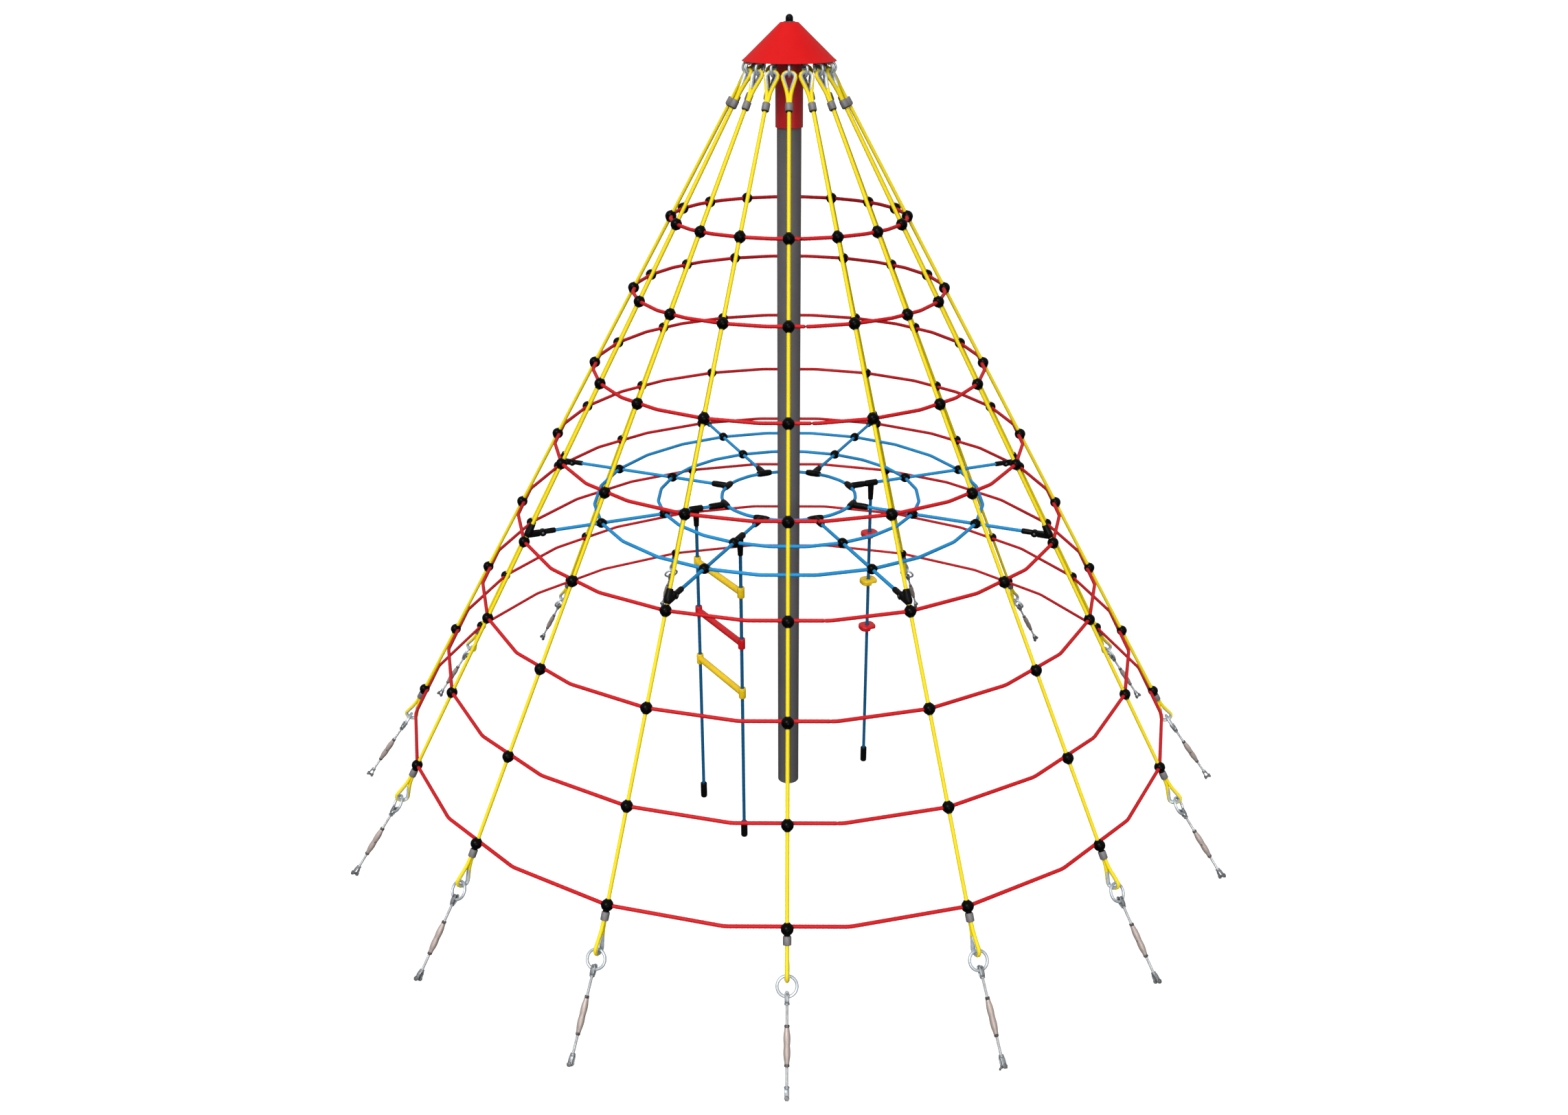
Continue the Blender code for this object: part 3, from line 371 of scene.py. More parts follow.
class Shape:
    """A mesh that grows from swept and turned shapes; each keeps its own material."""

    def __init__(self):
        self.points, self.faces, self.kinds, self.lays, self.paints = [], [], [], [], []

    def kind(self, paint):
        if paint not in self.paints:
            self.paints.append(paint)
        return self.paints.index(paint)

    def rows(self, rows, paint, run=None, around=True, closed=False):
        """Joins rows of points, one after the other. run is the length at each row."""
        kind = self.kind(paint)
        start, count, wide = len(self.points), len(rows), len(rows[0])
        run = run or list(range(count + 1))
        for row in rows:
            self.points += row
        for j in range(count if closed else count - 1):
            a, b = start + j * wide, start + (j + 1) % count * wide
            v0 = run[j]
            v1 = run[j + 1] if j + 1 < len(run) else run[j] + (run[j] - run[j - 1])
            for i in range(wide if around else wide - 1):
                k = (i + 1) % wide
                self.faces.append((a + i, a + k, b + k, b + i))
                self.kinds.append(kind)
                u0, u1 = i / wide, (i + 1) / wide
                self.lays += [(u0, v0), (u1, v0), (u1, v1), (u0, v1)]
        if around and not closed:
            first = list(range(start, start + wide))
            last = [start + (count - 1) * wide + i for i in range(wide)]
            for cap in (first[::-1], last):
                self.faces.append(tuple(cap))
                self.kinds.append(kind)
                self.lays += [(0.0, 0.0)] * wide

    def sweep(self, path, section, paint, closed=False, normal=None, scales=None, spin=0.0):
        """The (x, y) section along a path. spin turns it, in radians for each metre."""
        run = lengths(list(path) + ([path[0]] if closed else []))
        rows = []
        for i, (place, side, other) in enumerate(frames(path, closed, normal)):
            scale = scales[i] if scales else 1.0
            c, s = math.cos(spin * run[i]), math.sin(spin * run[i])
            rows.append([place + side * (x * c - y * s) * scale + other * (x * s + y * c) * scale
                         for x, y in section])
        self.rows(rows, paint, run, closed=closed)

    def turned(self, profile, sides, paint, matrix=None, closed=False):
        """The (radius, height) profile turned round Z, then placed by the matrix."""
        matrix = matrix or Matrix.Identity(4)
        rows = [[matrix @ Vector((x, y, z)) for x, y in circle(r, sides)] for r, z in profile]
        run = [0.0]
        for (r0, z0), (r1, z1) in zip(profile, profile[1:]):
            run.append(run[-1] + math.hypot(r1 - r0, z1 - z0))
        self.rows(rows, paint, run, closed=closed)

    def mesh(self, name, angle=40, bevel=None):
        made = bpy.data.meshes.new(name)
        made.from_pydata([tuple(p) for p in self.points], [], self.faces)
        made.polygons.foreach_set("material_index", self.kinds)
        layer = made.uv_layers.new(name="lay")
        layer.data.foreach_set("uv", [c for pair in self.lays for c in pair])
        for paint in self.paints:
            made.materials.append(paint)
        shell = bmesh.new()
        shell.from_mesh(made)
        bmesh.ops.recalc_face_normals(shell, faces=shell.faces)
        if bevel:
            sharp = [e for e in shell.edges
                     if e.is_manifold and e.calc_face_angle() > math.radians(35)]
            bmesh.ops.bevel(shell, geom=sharp, offset=bevel, segments=2, affect="EDGES",
                            clamp_overlap=True)
        shell.to_mesh(made)
        shell.free()
        made.shade_smooth()
        made.set_sharp_from_angle(angle=math.radians(angle))
        return made


def circle(radius, count):
    angles = [2 * math.pi * i / count for i in range(count)]
    return [(radius * math.cos(a), radius * math.sin(a)) for a in angles]


def mirrored(half):
    """A (radius, height) profile that is the same above height 0 as below it."""
    return half + [(r, -z) for r, z in reversed(half)]


def rounded_square(unit, power):
    """The points of a unit circle, moved out towards the corners of its square."""
    reaches = [(abs(c) ** power + abs(s) ** power) ** (-1 / power) for c, s in unit]
    return [(c * reach, s * reach) for (c, s), reach in zip(unit, reaches)]


def rope_section():
    """Six strands: each crest stands a little proud of the hollows between them."""
    crests, hollows = circle(ROPE_RADIUS, 12)[::2], circle(ROPE_RADIUS * 0.978, 12)[1::2]
    return [point for pair in zip(crests, hollows) for point in pair]


def add_rope(shape, path, paint, closed=False):
    """A laid rope. Round a closed ring its strands meet themselves again."""
    path = resampled(path, ROPE_STEP, closed)
    total = lengths(path + ([path[0]] if closed else []))[-1]
    spin = 2 * math.pi / ROPE_LAY
    if closed:
        found = frames(path, True)
        _, side, other = found[-1]
        home = found[0][1]
        ahead = (path[0] - path[-2]).rotation_difference(path[1] - path[-1])
        loose = math.atan2(home.dot(ahead @ other), home.dot(ahead @ side))
        sixth = math.pi / 3
        spin = (round((spin * total - loose) / sixth) * sixth + loose) / total
    shape.sweep(path, rope_section(), paint, closed=closed, spin=spin)


def axis_matrix(start, way, side=None):
    """Places local Z along a direction, starting at a point."""
    way = way.normalized()
    side = side or way.orthogonal()
    side = (side - way * side.dot(way)).normalized()
    turn = Matrix((side, way.cross(side), way)).transposed().to_4x4()
    return Matrix.Translation(start) @ turn


def piece(name, shape, body, slot, replaces=(), matrix=None, angle=40):
    """An object of the shape, or of a ready mesh, that rides on a body."""
    mesh = shape if isinstance(shape, bpy.types.Mesh) else shape.mesh(name, angle)
    obj = bpy.data.objects.new(name, mesh)
    bpy.context.scene.collection.objects.link(obj)
    if matrix:
        obj.matrix_world = matrix
    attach(obj, body)
    if replaces:
        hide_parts(*replaces)
    return obj


def cut(mesh, cutter):
    """The mesh less a closed cutter shape."""
    whole = bpy.data.objects.new("whole", mesh)
    tool = bpy.data.objects.new("tool", cutter)
    for obj in (whole, tool):
        bpy.context.scene.collection.objects.link(obj)
    modifier = whole.modifiers.new("cut", "BOOLEAN")
    modifier.object = tool
    modifier.operation = "DIFFERENCE"
    modifier.solver = "EXACT"
    graph = bpy.context.evaluated_depsgraph_get()
    made = bpy.data.meshes.new_from_object(whole.evaluated_get(graph))
    for obj in (whole, tool):
        bpy.data.objects.remove(obj)
    made.shade_smooth()
    made.set_sharp_from_angle(angle=math.radians(40))
    return made


# Hanging ropes, the free cords of the climber

def end_cap_shape(place):
    low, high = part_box("climbing_rope_end_cap")
    radius, bottom, top = (high[0] - low[0]) / 2, low[2], high[2]
    shape = Shape()
    profile = [(0.0098, bottom + 0.034), (0.0098, top - 0.0005), (0.0118, top)]
    for i in range(5):
        a = math.radians(90 - 22.5 * i)
        profile.append((radius - 0.005 + 0.005 * math.cos(a), top - 0.005 + 0.005 * math.sin(a)))
    profile += [(radius, (top + bottom) / 2), (radius - 0.0003, bottom + 0.01)]
    for i in range(7):
        a = math.radians(-15 * i)
        profile.append((radius - 0.009 + 0.0087 * math.cos(a), bottom + 0.009 * (1 + math.sin(a))))
    profile.append((0.0006, bottom))
    shape.turned(profile[::-1], 32, BLACK_PLASTIC, Matrix.Translation((place.x, place.y, 0.0)))
    return shape


def hanging_rope(name, place, body, cap):
    path = resampled([Vector((place.x, place.y, z)) for z in (ROPE_TOP_Z, ROPE_FOOT_Z)], ROPE_STEP)
    shape = Shape()
    add_rope(shape, path, HANGING_ROPE)
    rope = piece(f"{name}_cord", shape, body, "dark_blue_rope", (name,))
    end = piece(f"{cap}_moulding", end_cap_shape(place), body, "connector", (cap,))
    [tuple(p) for p in path]


def at_spoke(step, radius, z):
    return turn_to(step) @ Vector((radius, 0.0, z))


LADDER_PLACES = [at_spoke(step, radius, SOCKET_MOUTH_Z) for step, radius in LADDER_SPOKES]
CLIMBING_PLACE = at_spoke(*CLIMBING_SPOKE, SOCKET_MOUTH_Z)


def step_shape(node, paint, turn):
    """A rounded square foot block with soft edges, bored for the rope, notched under one side."""
    low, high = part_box(node)
    centre = (Vector(low) + Vector(high)) / 2
    half_x, half_y, half_z = 0.044, 0.039, (high[2] - low[2]) / 2
    edge = 0.008
    unit = circle(1.0, 48)

    def outline(inset, z):
        return [turn @ Vector(((half_x - inset) * c, (half_y - inset) * s, z))
                for c, s in rounded_square(unit, 3.2)]

    def bore(radius, z):
        return [turn @ Vector((radius * c, radius * s, z)) for c, s in unit]

    rows = [bore(0.0102, -half_z), bore(0.0125, -half_z)]
    corner = [(edge * (1 - math.cos(a)), half_z - edge * (1 - math.sin(a)))
              for a in (math.radians(22.5 * i) for i in range(5))]
    rows += [outline(inset, -z) for inset, z in reversed(corner)]
    rows += [outline(inset, z) for inset, z in corner]
    rows += [outline(0.022, half_z + 0.0004), bore(0.015, half_z - 0.0002),
             bore(0.0125, half_z - 0.0014), bore(0.0102, half_z - 0.003)]
    shape = Shape()
    shape.rows([[centre + point for point in row] for row in rows], paint, closed=True)
    near, far = 0.017, 0.06
    corners = (near, -far), (far, -far), (far, 0.0), (near, 0.0)
    cutter = Shape()
    cutter.rows([[centre + Vector((x, y, z - half_z)) for x, y in corners] for z in (-0.02, 0.014)],
                paint)
    return cut(shape.mesh(node), cutter.mesh("notch", bevel=0.003))


RED, YELLOW = (RED_PLASTIC, "red_plastic"), (YELLOW_PLASTIC, "yellow_plastic")
step_turn = turn_to(CLIMBING_SPOKE[0]).to_3x3()
for level, (paint, slot) in (("top", RED), ("middle", YELLOW), ("bottom", RED)):
    node = f"climbing_step_{level}"
    shape = step_shape(node, paint, step_turn)
    piece(f"{node}_moulding", shape, "climbing_rope", slot, (node,))

hanging_rope("ladder_rope_left", LADDER_PLACES[0], "ladder", "ladder_end_cap_left")
hanging_rope("ladder_rope_right", LADDER_PLACES[1], "ladder", "ladder_end_cap_right")
hanging_rope("climbing_rope", CLIMBING_PLACE, "climbing_rope", "climbing_rope_end_cap")


def make_rung(level, paint, slot):
    node = f"ladder_rung_{level}"
    z = middle(node).z
    left, right = (Vector((p.x, p.y, z)) for p in LADDER_PLACES)
    shape = Shape()
    collar = mirrored([(0.01, -0.027), (0.0112, -0.028), (0.016, -0.028), (0.0172, -0.0274),
                       (0.018, -0.0258), (0.0183, -0.01)])
    for place in (left, right):
        shape.turned(collar, 40, paint, Matrix.Translation(place), closed=True)
    half = (right - left).length / 2
    start = 0.0105 - half
    bar = mirrored([(0.016, start), (0.017, start + 0.006), (0.0172, start + 0.012),
                    (0.0172, start + 0.06)])
    shape.turned(bar, 40, paint, axis_matrix((left + right) / 2, right - left))
    piece(f"{node}_moulding", shape, "ladder", slot, (node,))


for level, colour in (("top", YELLOW), ("middle", RED), ("bottom", YELLOW)):
    make_rung(level, *colour)


# Mast and head

def make_mast():
    low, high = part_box("mast_head_sleeve")
    sleeve_foot, crown_top = low[2], high[2]
    shape = Shape()
    top, stud = MAST_TOP, 0.008
    shape.turned([(0.054, 0.0003), (MAST_RADIUS - 0.00045, 0.0003), (MAST_RADIUS, 0.0012),
                  (MAST_RADIUS, 1.2), (MAST_RADIUS, 2.4), (MAST_RADIUS, top - 0.0005),
                  (0.0566, top), (0.0082, top), (stud, top + 0.0002), (stud, 4.0085),
                  (0.007, 4.01), (0.0005, 4.01)], 72, MAST_PAINT)
    piece("mast_tube_painted", shape, "net", "mast", ("mast_tube",))
    sleeve = Shape()
    sleeve.turned([(0.0576, sleeve_foot), (0.0632, sleeve_foot), (0.064, sleeve_foot + 0.0009),
                   (0.064, 3.6), (0.064, 3.83), (0.064, 3.8398), (0.0576, 3.8398)],
                  72, SLEEVE_PAINT, closed=True)
    piece("mast_head_sleeve_painted", sleeve, "net", "head_sleeve", ("mast_head_sleeve",))
    crown = Shape()
    crown.turned([(0.0578, 3.8402), (0.1812, 3.8402), (0.182, 3.841), (0.182, crown_top - 0.0008),
                  (0.1812, crown_top), (0.0578, crown_top)], 96, LUG_METAL, closed=True)
    fillet = [(0.0641, 3.8398), (0.065, 3.833), (0.0668, 3.8355), (0.071, 3.8398)]
    crown.turned(fillet, 72, LUG_METAL, closed=True)
    low, high = LUG_ABOVE_EYE
    hole_at = SHACKLE_ABOVE_EYE + SHACKLE[0]
    for step in range(GUYS):
        turn = turn_to(step)
        place = axis_matrix(EYE_TOP, -DOWN_GUY, SIDEWAYS.cross(-DOWN_GUY))
        add_lug(crown, turn @ place, low, high, hole_at)
    piece("mast_head_crown", crown, "net", "head_sleeve", angle=35)


def add_lug(shape, place, low, high, hole_at):
    """A bored plate, 7 mm thick, with round lower corners. Local Z runs up it, and X through it."""
    count = 32
    half_thick, half_wide, corner, hole = 0.0035, 0.013, 0.006, 0.0082
    outer, inner = [], []
    for i in range(count):
        a = 2 * math.pi * (i + 0.5) / count
        c, s = math.cos(a), math.sin(a)
        reach_down = hole_at - low
        reach = high - hole_at if s > 0 else reach_down
        limit = min(half_wide / max(abs(c), 1e-6), reach / max(abs(s), 1e-6))
        y, z = c * limit, s * limit
        if s < 0:
            over_y, over_z = abs(y) - (half_wide - corner), -z - (reach_down - corner)
            if over_y > 0 and over_z > 0:
                over = math.hypot(over_y, over_z)
                y = math.copysign(half_wide - corner + over_y * corner / over, y)
                z = -(reach_down - corner + over_z * corner / over)
        outer.append((y, z + hole_at))
        inner.append((hole * c, hole * s + hole_at))
    soft = 0.0007
    loops = []
    for x, outline, inset in ((-half_thick, inner, 0.0), (-half_thick, outer, soft),
                              (soft - half_thick, outer, 0.0), (half_thick - soft, outer, 0.0),
                              (half_thick, outer, soft), (half_thick, inner, 0.0)):
        across, up = 1 - inset / half_wide, 1 - inset / 0.02
        loops.append([place @ Vector((x, y * across, hole_at + (z - hole_at) * up))
                      for y, z in outline])
    shape.rows(loops, LUG_METAL, closed=True)


def make_cap():
    low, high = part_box("head_cap")
    rim, bottom, top = (high[0] - low[0]) / 2, low[2], high[2]
    flat, sheet = 0.041, 0.004
    slope = (rim - flat) / (top - bottom)
    shape = Shape()
    outside = [(rim - 0.0012, bottom), (rim - 0.0002, bottom + 0.0008),
               (rim - 0.0008, bottom + 0.0024)]
    for i in range(1, 12):
        z = bottom + (top - bottom - 0.003) * i / 12
        outside.append((rim - slope * (z - bottom), z))
    outside += [(flat + 0.0022, top - 0.002), (flat - 0.0005, top - 0.0003), (flat - 0.004, top),
                (0.0095, top)]
    drop = sheet * math.hypot(slope, 1) / slope
    inside = [(0.0095, top - sheet), (flat + (sheet - drop) * slope, top - sheet),
              (rim - (drop + 0.001) * slope, bottom + 0.001), (rim - drop * slope + 0.001, bottom)]
    shape.turned(outside + inside, 128, CAP_PLASTIC, closed=True)
    piece("head_cap_moulding", shape, "net", "cap", ("head_cap",), angle=30)
    low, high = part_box("cap_dome_nut")
    radius, bottom, top = 0.0172, low[2], high[2]
    nut = Shape()
    washer = [(0.0086, bottom), (0.0252, bottom), (0.0259, bottom + 0.0008),
              (0.0259, bottom + 0.002), (0.025, bottom + 0.0028), (0.0176, bottom + 0.0029),
              (0.0086, bottom + 0.0029)]
    nut.turned(washer, 48, BOLT_METAL, closed=True)
    dome = [(0.0088, bottom + 0.0031), (radius * 0.97, bottom + 0.0031), (radius, bottom + 0.0042),
            (radius, top - radius)]
    for i in range(1, 9):
        a = math.radians(11 * i)
        dome.append((radius * math.cos(a), top - radius + radius * math.sin(a)))
    nut.turned([*dome, (0.0003, top)], 40, BLACK_PLASTIC)
    piece("cap_dome_nut_moulding", nut, "net", "black_plastic", ("cap_dome_nut",))


make_mast()
make_cap()


# Guy ropes

def eye_side(crown, along, across):
    """Half of an eye, from its crown to the ferrule, as knots for a smooth curve."""
    half = [(0.0002, 0.0), (0.0022, 0.012), (0.008, 0.022), (0.018, 0.0284), (0.029, 0.028),
            (0.048, 0.0226), (0.07, 0.016), (0.085, 0.0118), (0.1, 0.0084), (0.118, 0.006),
            (0.135, 0.0048), (0.15, 0.0042)]
    return [crown + along * x + across * y for x, y in half]


def eye_path(crown, along, across):
    """A whole eye from its dead end in the ferrule, round the crown, back into the ferrule."""
    one = eye_side(crown, along, -across)
    other = eye_side(crown, along, across)
    return one[::-1] + other[1:]


def guy_rope_shape():
    near, far = DOWN_GUY * (EYE_LENGTH + 0.02), DOWN_GUY * (EYE_LENGTH + 0.034)
    foot_across = DOWN_GUY.cross(SIDEWAYS)
    top = smooth([*eye_path(EYE_TOP, DOWN_GUY, SIDEWAYS),
                  EYE_TOP + near + SIDEWAYS * 0.002, EYE_TOP + far])
    foot = smooth([EYE_FOOT - far, EYE_FOOT - near - foot_across * 0.002,
                   *eye_path(EYE_FOOT, -DOWN_GUY, foot_across)])
    shape = Shape()
    add_rope(shape, top + foot, YELLOW_ROPE)
    return shape


def add_thimble(shape, crown, along, across):
    """A zinc channel that lines the eye. Its lips come a little round the rope."""
    half = eye_side(crown, along, across)[:8]
    other = eye_side(crown, along, -across)[:8]
    path = resampled(smooth(other[::-1] + half[1:], 8), 0.0045)
    inside = crown + along * 0.035
    normal = along.cross(across)
    rows = []
    count = len(path)
    for i, (place, _, _) in enumerate(frames(path)):
        before, after = path[max(i - 1, 0)], path[min(i + 1, count - 1)]
        tangent = (after - before).normalized()
        inward = normal.cross(tangent)
        if inward.dot(inside - place) < 0:
            inward.negate()
        nearness = min(i, count - 1 - i) / (count / 2)
        spread = math.radians(58 + 28 * min(1.0, nearness * 2.2))
        row = []
        for radius, angles in ((0.0093, range(-4, 5)), (0.0108, range(4, -5, -1))):
            for k in angles:
                a = spread * k / 4
                row.append(place + inward * radius * math.cos(a) + normal * radius * math.sin(a))
        rows.append(row)
    shape.rows(rows, THIMBLE_METAL)


def add_ferrule(shape, start, way):
    """A pressed ferrule, with rolled edges and a dark parting at its outer end."""
    radius, length = FERRULE
    profile = [(0.008, 0.0008), (radius - 0.0022, 0.0004), (radius - 0.0008, 0.0012),
               (radius - 0.0002, 0.003), (radius, length * 0.5), (radius - 0.0001, length - 0.0042),
               (radius - 0.001, length - 0.0018), (radius - 0.0028, length - 0.0004),
               (0.0095, length - 0.0002)]
    collar = [(0.009, length - 0.001), (radius - 0.0032, length - 0.0004),
              (radius - 0.004, length + 0.0016), (0.0094, length + 0.002)]
    for part, paint in ((profile, FERRULE_METAL), (collar, BLACK_PLASTIC)):
        shape.turned(part, 32, paint, axis_matrix(start, way, SIDEWAYS))


def add_ring(shape, centre, radius, wire, normal, count=40):
    side = normal.orthogonal().normalized()
    other = normal.cross(side).normalized()
    path = [centre + side * x + other * y for x, y in circle(radius, count)]
    shape.sweep(path, circle(wire, 14), RING_METAL, closed=True, normal=normal)


def top_fittings_shape():
    shape = Shape()
    add_thimble(shape, EYE_TOP, DOWN_GUY, SIDEWAYS)
    add_ferrule(shape, EYE_TOP + DOWN_GUY * EYE_LENGTH, DOWN_GUY)
    add_ring(shape, EYE_TOP - DOWN_GUY * SHACKLE_ABOVE_EYE, *SHACKLE, SIDEWAYS)
    return shape


def add_jaw(shape, pin, root):
    """A bent strap with round ends. Its two legs straddle the pin, and its bow is root-wards."""
    across = root.cross(SIDEWAYS).normalized()
    half = (JAW_GAP + JAW_STRAP) / 2
    flat = [(-0.01, half), (-0.006, half), (0.0, half), (0.01, half), (0.02, half),
            (0.029, half * 0.86), (0.0365, half * 0.5), (0.04, 0.0)]
    knots = flat + [(x, -y) for x, y in reversed(flat[:-1])]
    path = [pin + root * x + across * y for x, y in knots]
    count = len(path)
    run = lengths(path)
    round_end = 0.01
    rows = []
    for i, place in enumerate(path):
        tangent = (path[min(i + 1, count - 1)] - path[max(i - 1, 0)]).normalized()
        side = tangent.cross(SIDEWAYS)
        near = min(run[i], run[-1] - run[i])
        bow = math.sqrt(max(0.0, 1 - (1 - min(near / round_end, 1.0)) ** 2))
        wide = JAW_WIDTH / 2 * (0.34 + 0.66 * bow)
        thick = JAW_STRAP / 2
        corners = [(-1, -0.75), (-0.93, -1), (0.93, -1), (1, -0.75)]
        corners += [(-x, -y) for x, y in corners]
        row = [place + SIDEWAYS * wide * x + side * thick * y for x, y in corners]
        rows.append(row)
    shape.rows(rows, ZINC)
    shape.turned([(0.0098, -0.004), (0.0112, -0.003), (0.0112, 0.003), (0.0098, 0.004)], 24, ZINC,
                 axis_matrix(pin + root * 0.0405, root))


def add_pin(shape, pin, way, head):
    """A clevis pin: the shank and, where it is a bolt, its hexagon head and its nut."""
    reach = JAW_GAP / 2 + JAW_STRAP
    shank = [(0.0054, -reach - 0.0015), (0.006, -reach), (0.006, reach), (0.0054, reach + 0.0012)]
    shape.turned(shank, 24, BOLT_METAL, axis_matrix(pin, way))
    if head:
        add_hexagon(shape, pin + way * reach, way, 0.011, 0.0068, BOLT_METAL)
        add_hexagon(shape, pin - way * reach, -way, 0.01, 0.005, NUT_METAL)


def add_hexagon(shape, start, way, corner, height, paint):
    """A chamfered hexagon on a thin washer face."""
    profile = [(corner * r, height * z) for r, z in (
        (0.86, 0.0), (0.93, 0.06), (1.0, 0.16), (1.0, 0.8), (0.9, 0.95), (0.78, 1.0))]
    shape.turned(profile, 6, paint, axis_matrix(start, way, SIDEWAYS))


def foot_fittings_shape(anchored):
    shape = Shape()
    foot_across = DOWN_GUY.cross(SIDEWAYS)
    add_thimble(shape, EYE_FOOT, -DOWN_GUY, foot_across)
    add_ferrule(shape, EYE_FOOT - DOWN_GUY * EYE_LENGTH, -DOWN_GUY)
    add_ring(shape, STEEL_RING_CENTRE, *STEEL_RING, ACROSS_TENSIONER, 48)
    add_jaw(shape, TOP_PIN, DOWN_TENSIONER)
    add_jaw(shape, FOOT_PIN, -DOWN_TENSIONER)
    add_pin(shape, TOP_PIN, ACROSS_TENSIONER, False)
    add_pin(shape, FOOT_PIN, ACROSS_TENSIONER, True)
    nut = TOP_PIN + DOWN_TENSIONER * PIN_TO_NUT
    far_nut = nut + DOWN_TENSIONER * (NUT[1] + TURNBUCKLE_LENGTH)
    for start, end in ((TOP_PIN + DOWN_TENSIONER * 0.04, nut + DOWN_TENSIONER * 0.045),
                       (far_nut - DOWN_TENSIONER * 0.034, FOOT_PIN - DOWN_TENSIONER * 0.04)):
        path = resampled([start, end], 0.01)
        shape.sweep(path, circle(ROD_RADIUS, 20), THREAD)
    clear = 0.0003
    for start in (nut, far_nut + DOWN_TENSIONER * clear):
        add_hexagon(shape, start, DOWN_TENSIONER, NUT[0], NUT[1] - clear, NUT_METAL)
    if anchored:
        side, wire = 0.0155, 0.0045
        knots = [(side, 0.0008), (side, 0.004), (side * 0.86, 0.0088), (side * 0.45, 0.0108),
                 (0.0, 0.0112)]
        knots += [(-y, z) for y, z in reversed(knots[:-1])]
        path = [Vector((FOOT_PIN.x, y, z)) for y, z in knots]
        shape.sweep(smooth(path, 4), circle(wire, 12), BOLT_METAL)
    return shape


def turnbuckle_mesh():
    """A closed turnbuckle body with drawn-in ends and an inspection hole through its middle."""
    half = TURNBUCKLE_LENGTH / 2 - 0.0004
    outer = mirrored([(0.0098, -half), (0.0104, 0.0008 - half), (0.0107, 0.008 - half),
                      (0.012, 0.016 - half), (0.0137, 0.026 - half), (0.0145, 0.036 - half),
                      (0.0147, 0.044 - half), (0.0144, 0.054 - half), (0.0137, -0.009),
                      (0.0134, -0.003)])
    shape = Shape()
    shape.turned([*outer, (0.0075, half), (0.0075, -half)], 40, BODY_METAL, closed=True)
    body = shape.mesh("turnbuckle_body", 50)
    drill = Shape()
    drill.turned(mirrored([(0.0042, -0.02)]), 20, BODY_METAL, Matrix.Rotation(math.pi / 2, 4, "Y"))
    return cut(body, drill.mesh("drill"))


GUY_ROPE = guy_rope_shape().mesh("guy_rope", 60)
TOP_FITTINGS = top_fittings_shape().mesh("top_fittings", 42)
FOOT_FITTINGS = foot_fittings_shape(False).mesh("foot_fittings", 42)
ANCHORED_FITTINGS = foot_fittings_shape(True).mesh("anchored_fittings", 42)
TURNBUCKLE = turnbuckle_mesh()
body_middle = TOP_PIN + DOWN_TENSIONER * (PIN_TO_NUT + NUT[1] + TURNBUCKLE_LENGTH / 2)
for step in range(GUYS):
    turn = turn_to(step)
    number = f"{step + 1:02d}"
    node = f"guy_rope_{number}"
    piece(f"{node}_cord", GUY_ROPE, "net", "yellow_rope_and_steel", (node,), turn)
    piece(f"{node}_top_fittings", TOP_FITTINGS, "net", "yellow_rope_and_steel", (), turn)
    fittings = ANCHORED_FITTINGS if step == ANCHORED_GUY else FOOT_FITTINGS
    piece(f"{node}_foot_fittings", fittings, "net", "yellow_rope_and_steel", (), turn)
    place = turn @ axis_matrix(body_middle, DOWN_TENSIONER, SIDEWAYS)
    piece(f"turnbuckle_body_{number}", TURNBUCKLE, f"turnbuckle_{number}", "turnbuckle_steel",
          (f"turnbuckle_sleeve_{number}",), place)


# Net rings

def ring_path(radius, z, closeness=0.018):
    """A polygon of straight runs whose corners are bent to a small radius."""
    points = []
    for corner in range(RING_CORNERS):
        azimuth = 2 * math.pi * (corner + 0.5) / RING_CORNERS
        here = Vector((radius * math.sin(azimuth), -radius * math.cos(azimuth), z))
        steps = []
        for sign in (-1, 1):
            other = azimuth + sign * 2 * math.pi / RING_CORNERS
            there = Vector((radius * math.sin(other), -radius * math.cos(other), z))
            steps.append(here + (there - here).normalized() * closeness)
        before, after = steps
        for k in range(5):
            t = k / 4
            points.append(before * (1 - t) ** 2 + here * 2 * t * (1 - t) + after * t * t)
    return points


def add_ball(shape, centre, axis, way, radius=BALL_RADIUS):
    """A two-part ball clamp: a parting groove, and short collars where the ropes leave it."""
    profile = [(0.0098, -radius * 0.985), (0.0128, -radius * 0.975)]
    for degrees in range(-60, 61, 10):
        a = math.radians(degrees)
        if degrees == 0:
            profile += [(radius, -0.0011), (radius - 0.0009, -0.0004), (radius - 0.0009, 0.0004),
                        (radius, 0.0011)]
        else:
            profile.append((radius * math.cos(a), radius * math.sin(a)))
    profile += [(0.0128, radius * 0.975), (0.0098, radius * 0.985)]
    shape.turned(profile, 32, BALL_PLASTIC, axis_matrix(centre, axis))
    collar = [(0.0096, -radius * 0.945), (0.0112, -radius * 0.94), (0.0122, -radius * 0.915),
              (0.013, -radius * 0.8), (0.013, radius * 0.8), (0.0122, radius * 0.915),
              (0.0112, radius * 0.94), (0.0096, radius * 0.945)]
    shape.turned(collar, 24, BALL_PLASTIC, axis_matrix(centre, way))


def make_ring(node, radius, z, steps, axis, paint, slot, ball_radius=BALL_RADIUS):
    rope = Shape()
    add_rope(rope, ring_path(radius, z), paint, closed=True)
    piece(f"{node}_cord", rope, "net", slot, (node,), angle=60)
    balls = Shape()
    for step in steps:
        turn = turn_to(step)
        add_ball(balls, turn @ Vector((radius, 0, z)), turn @ axis, turn @ SIDEWAYS, ball_radius)
    piece(f"{node}_balls", balls, "net", slot if paint is RED_ROPE else "black_plastic")


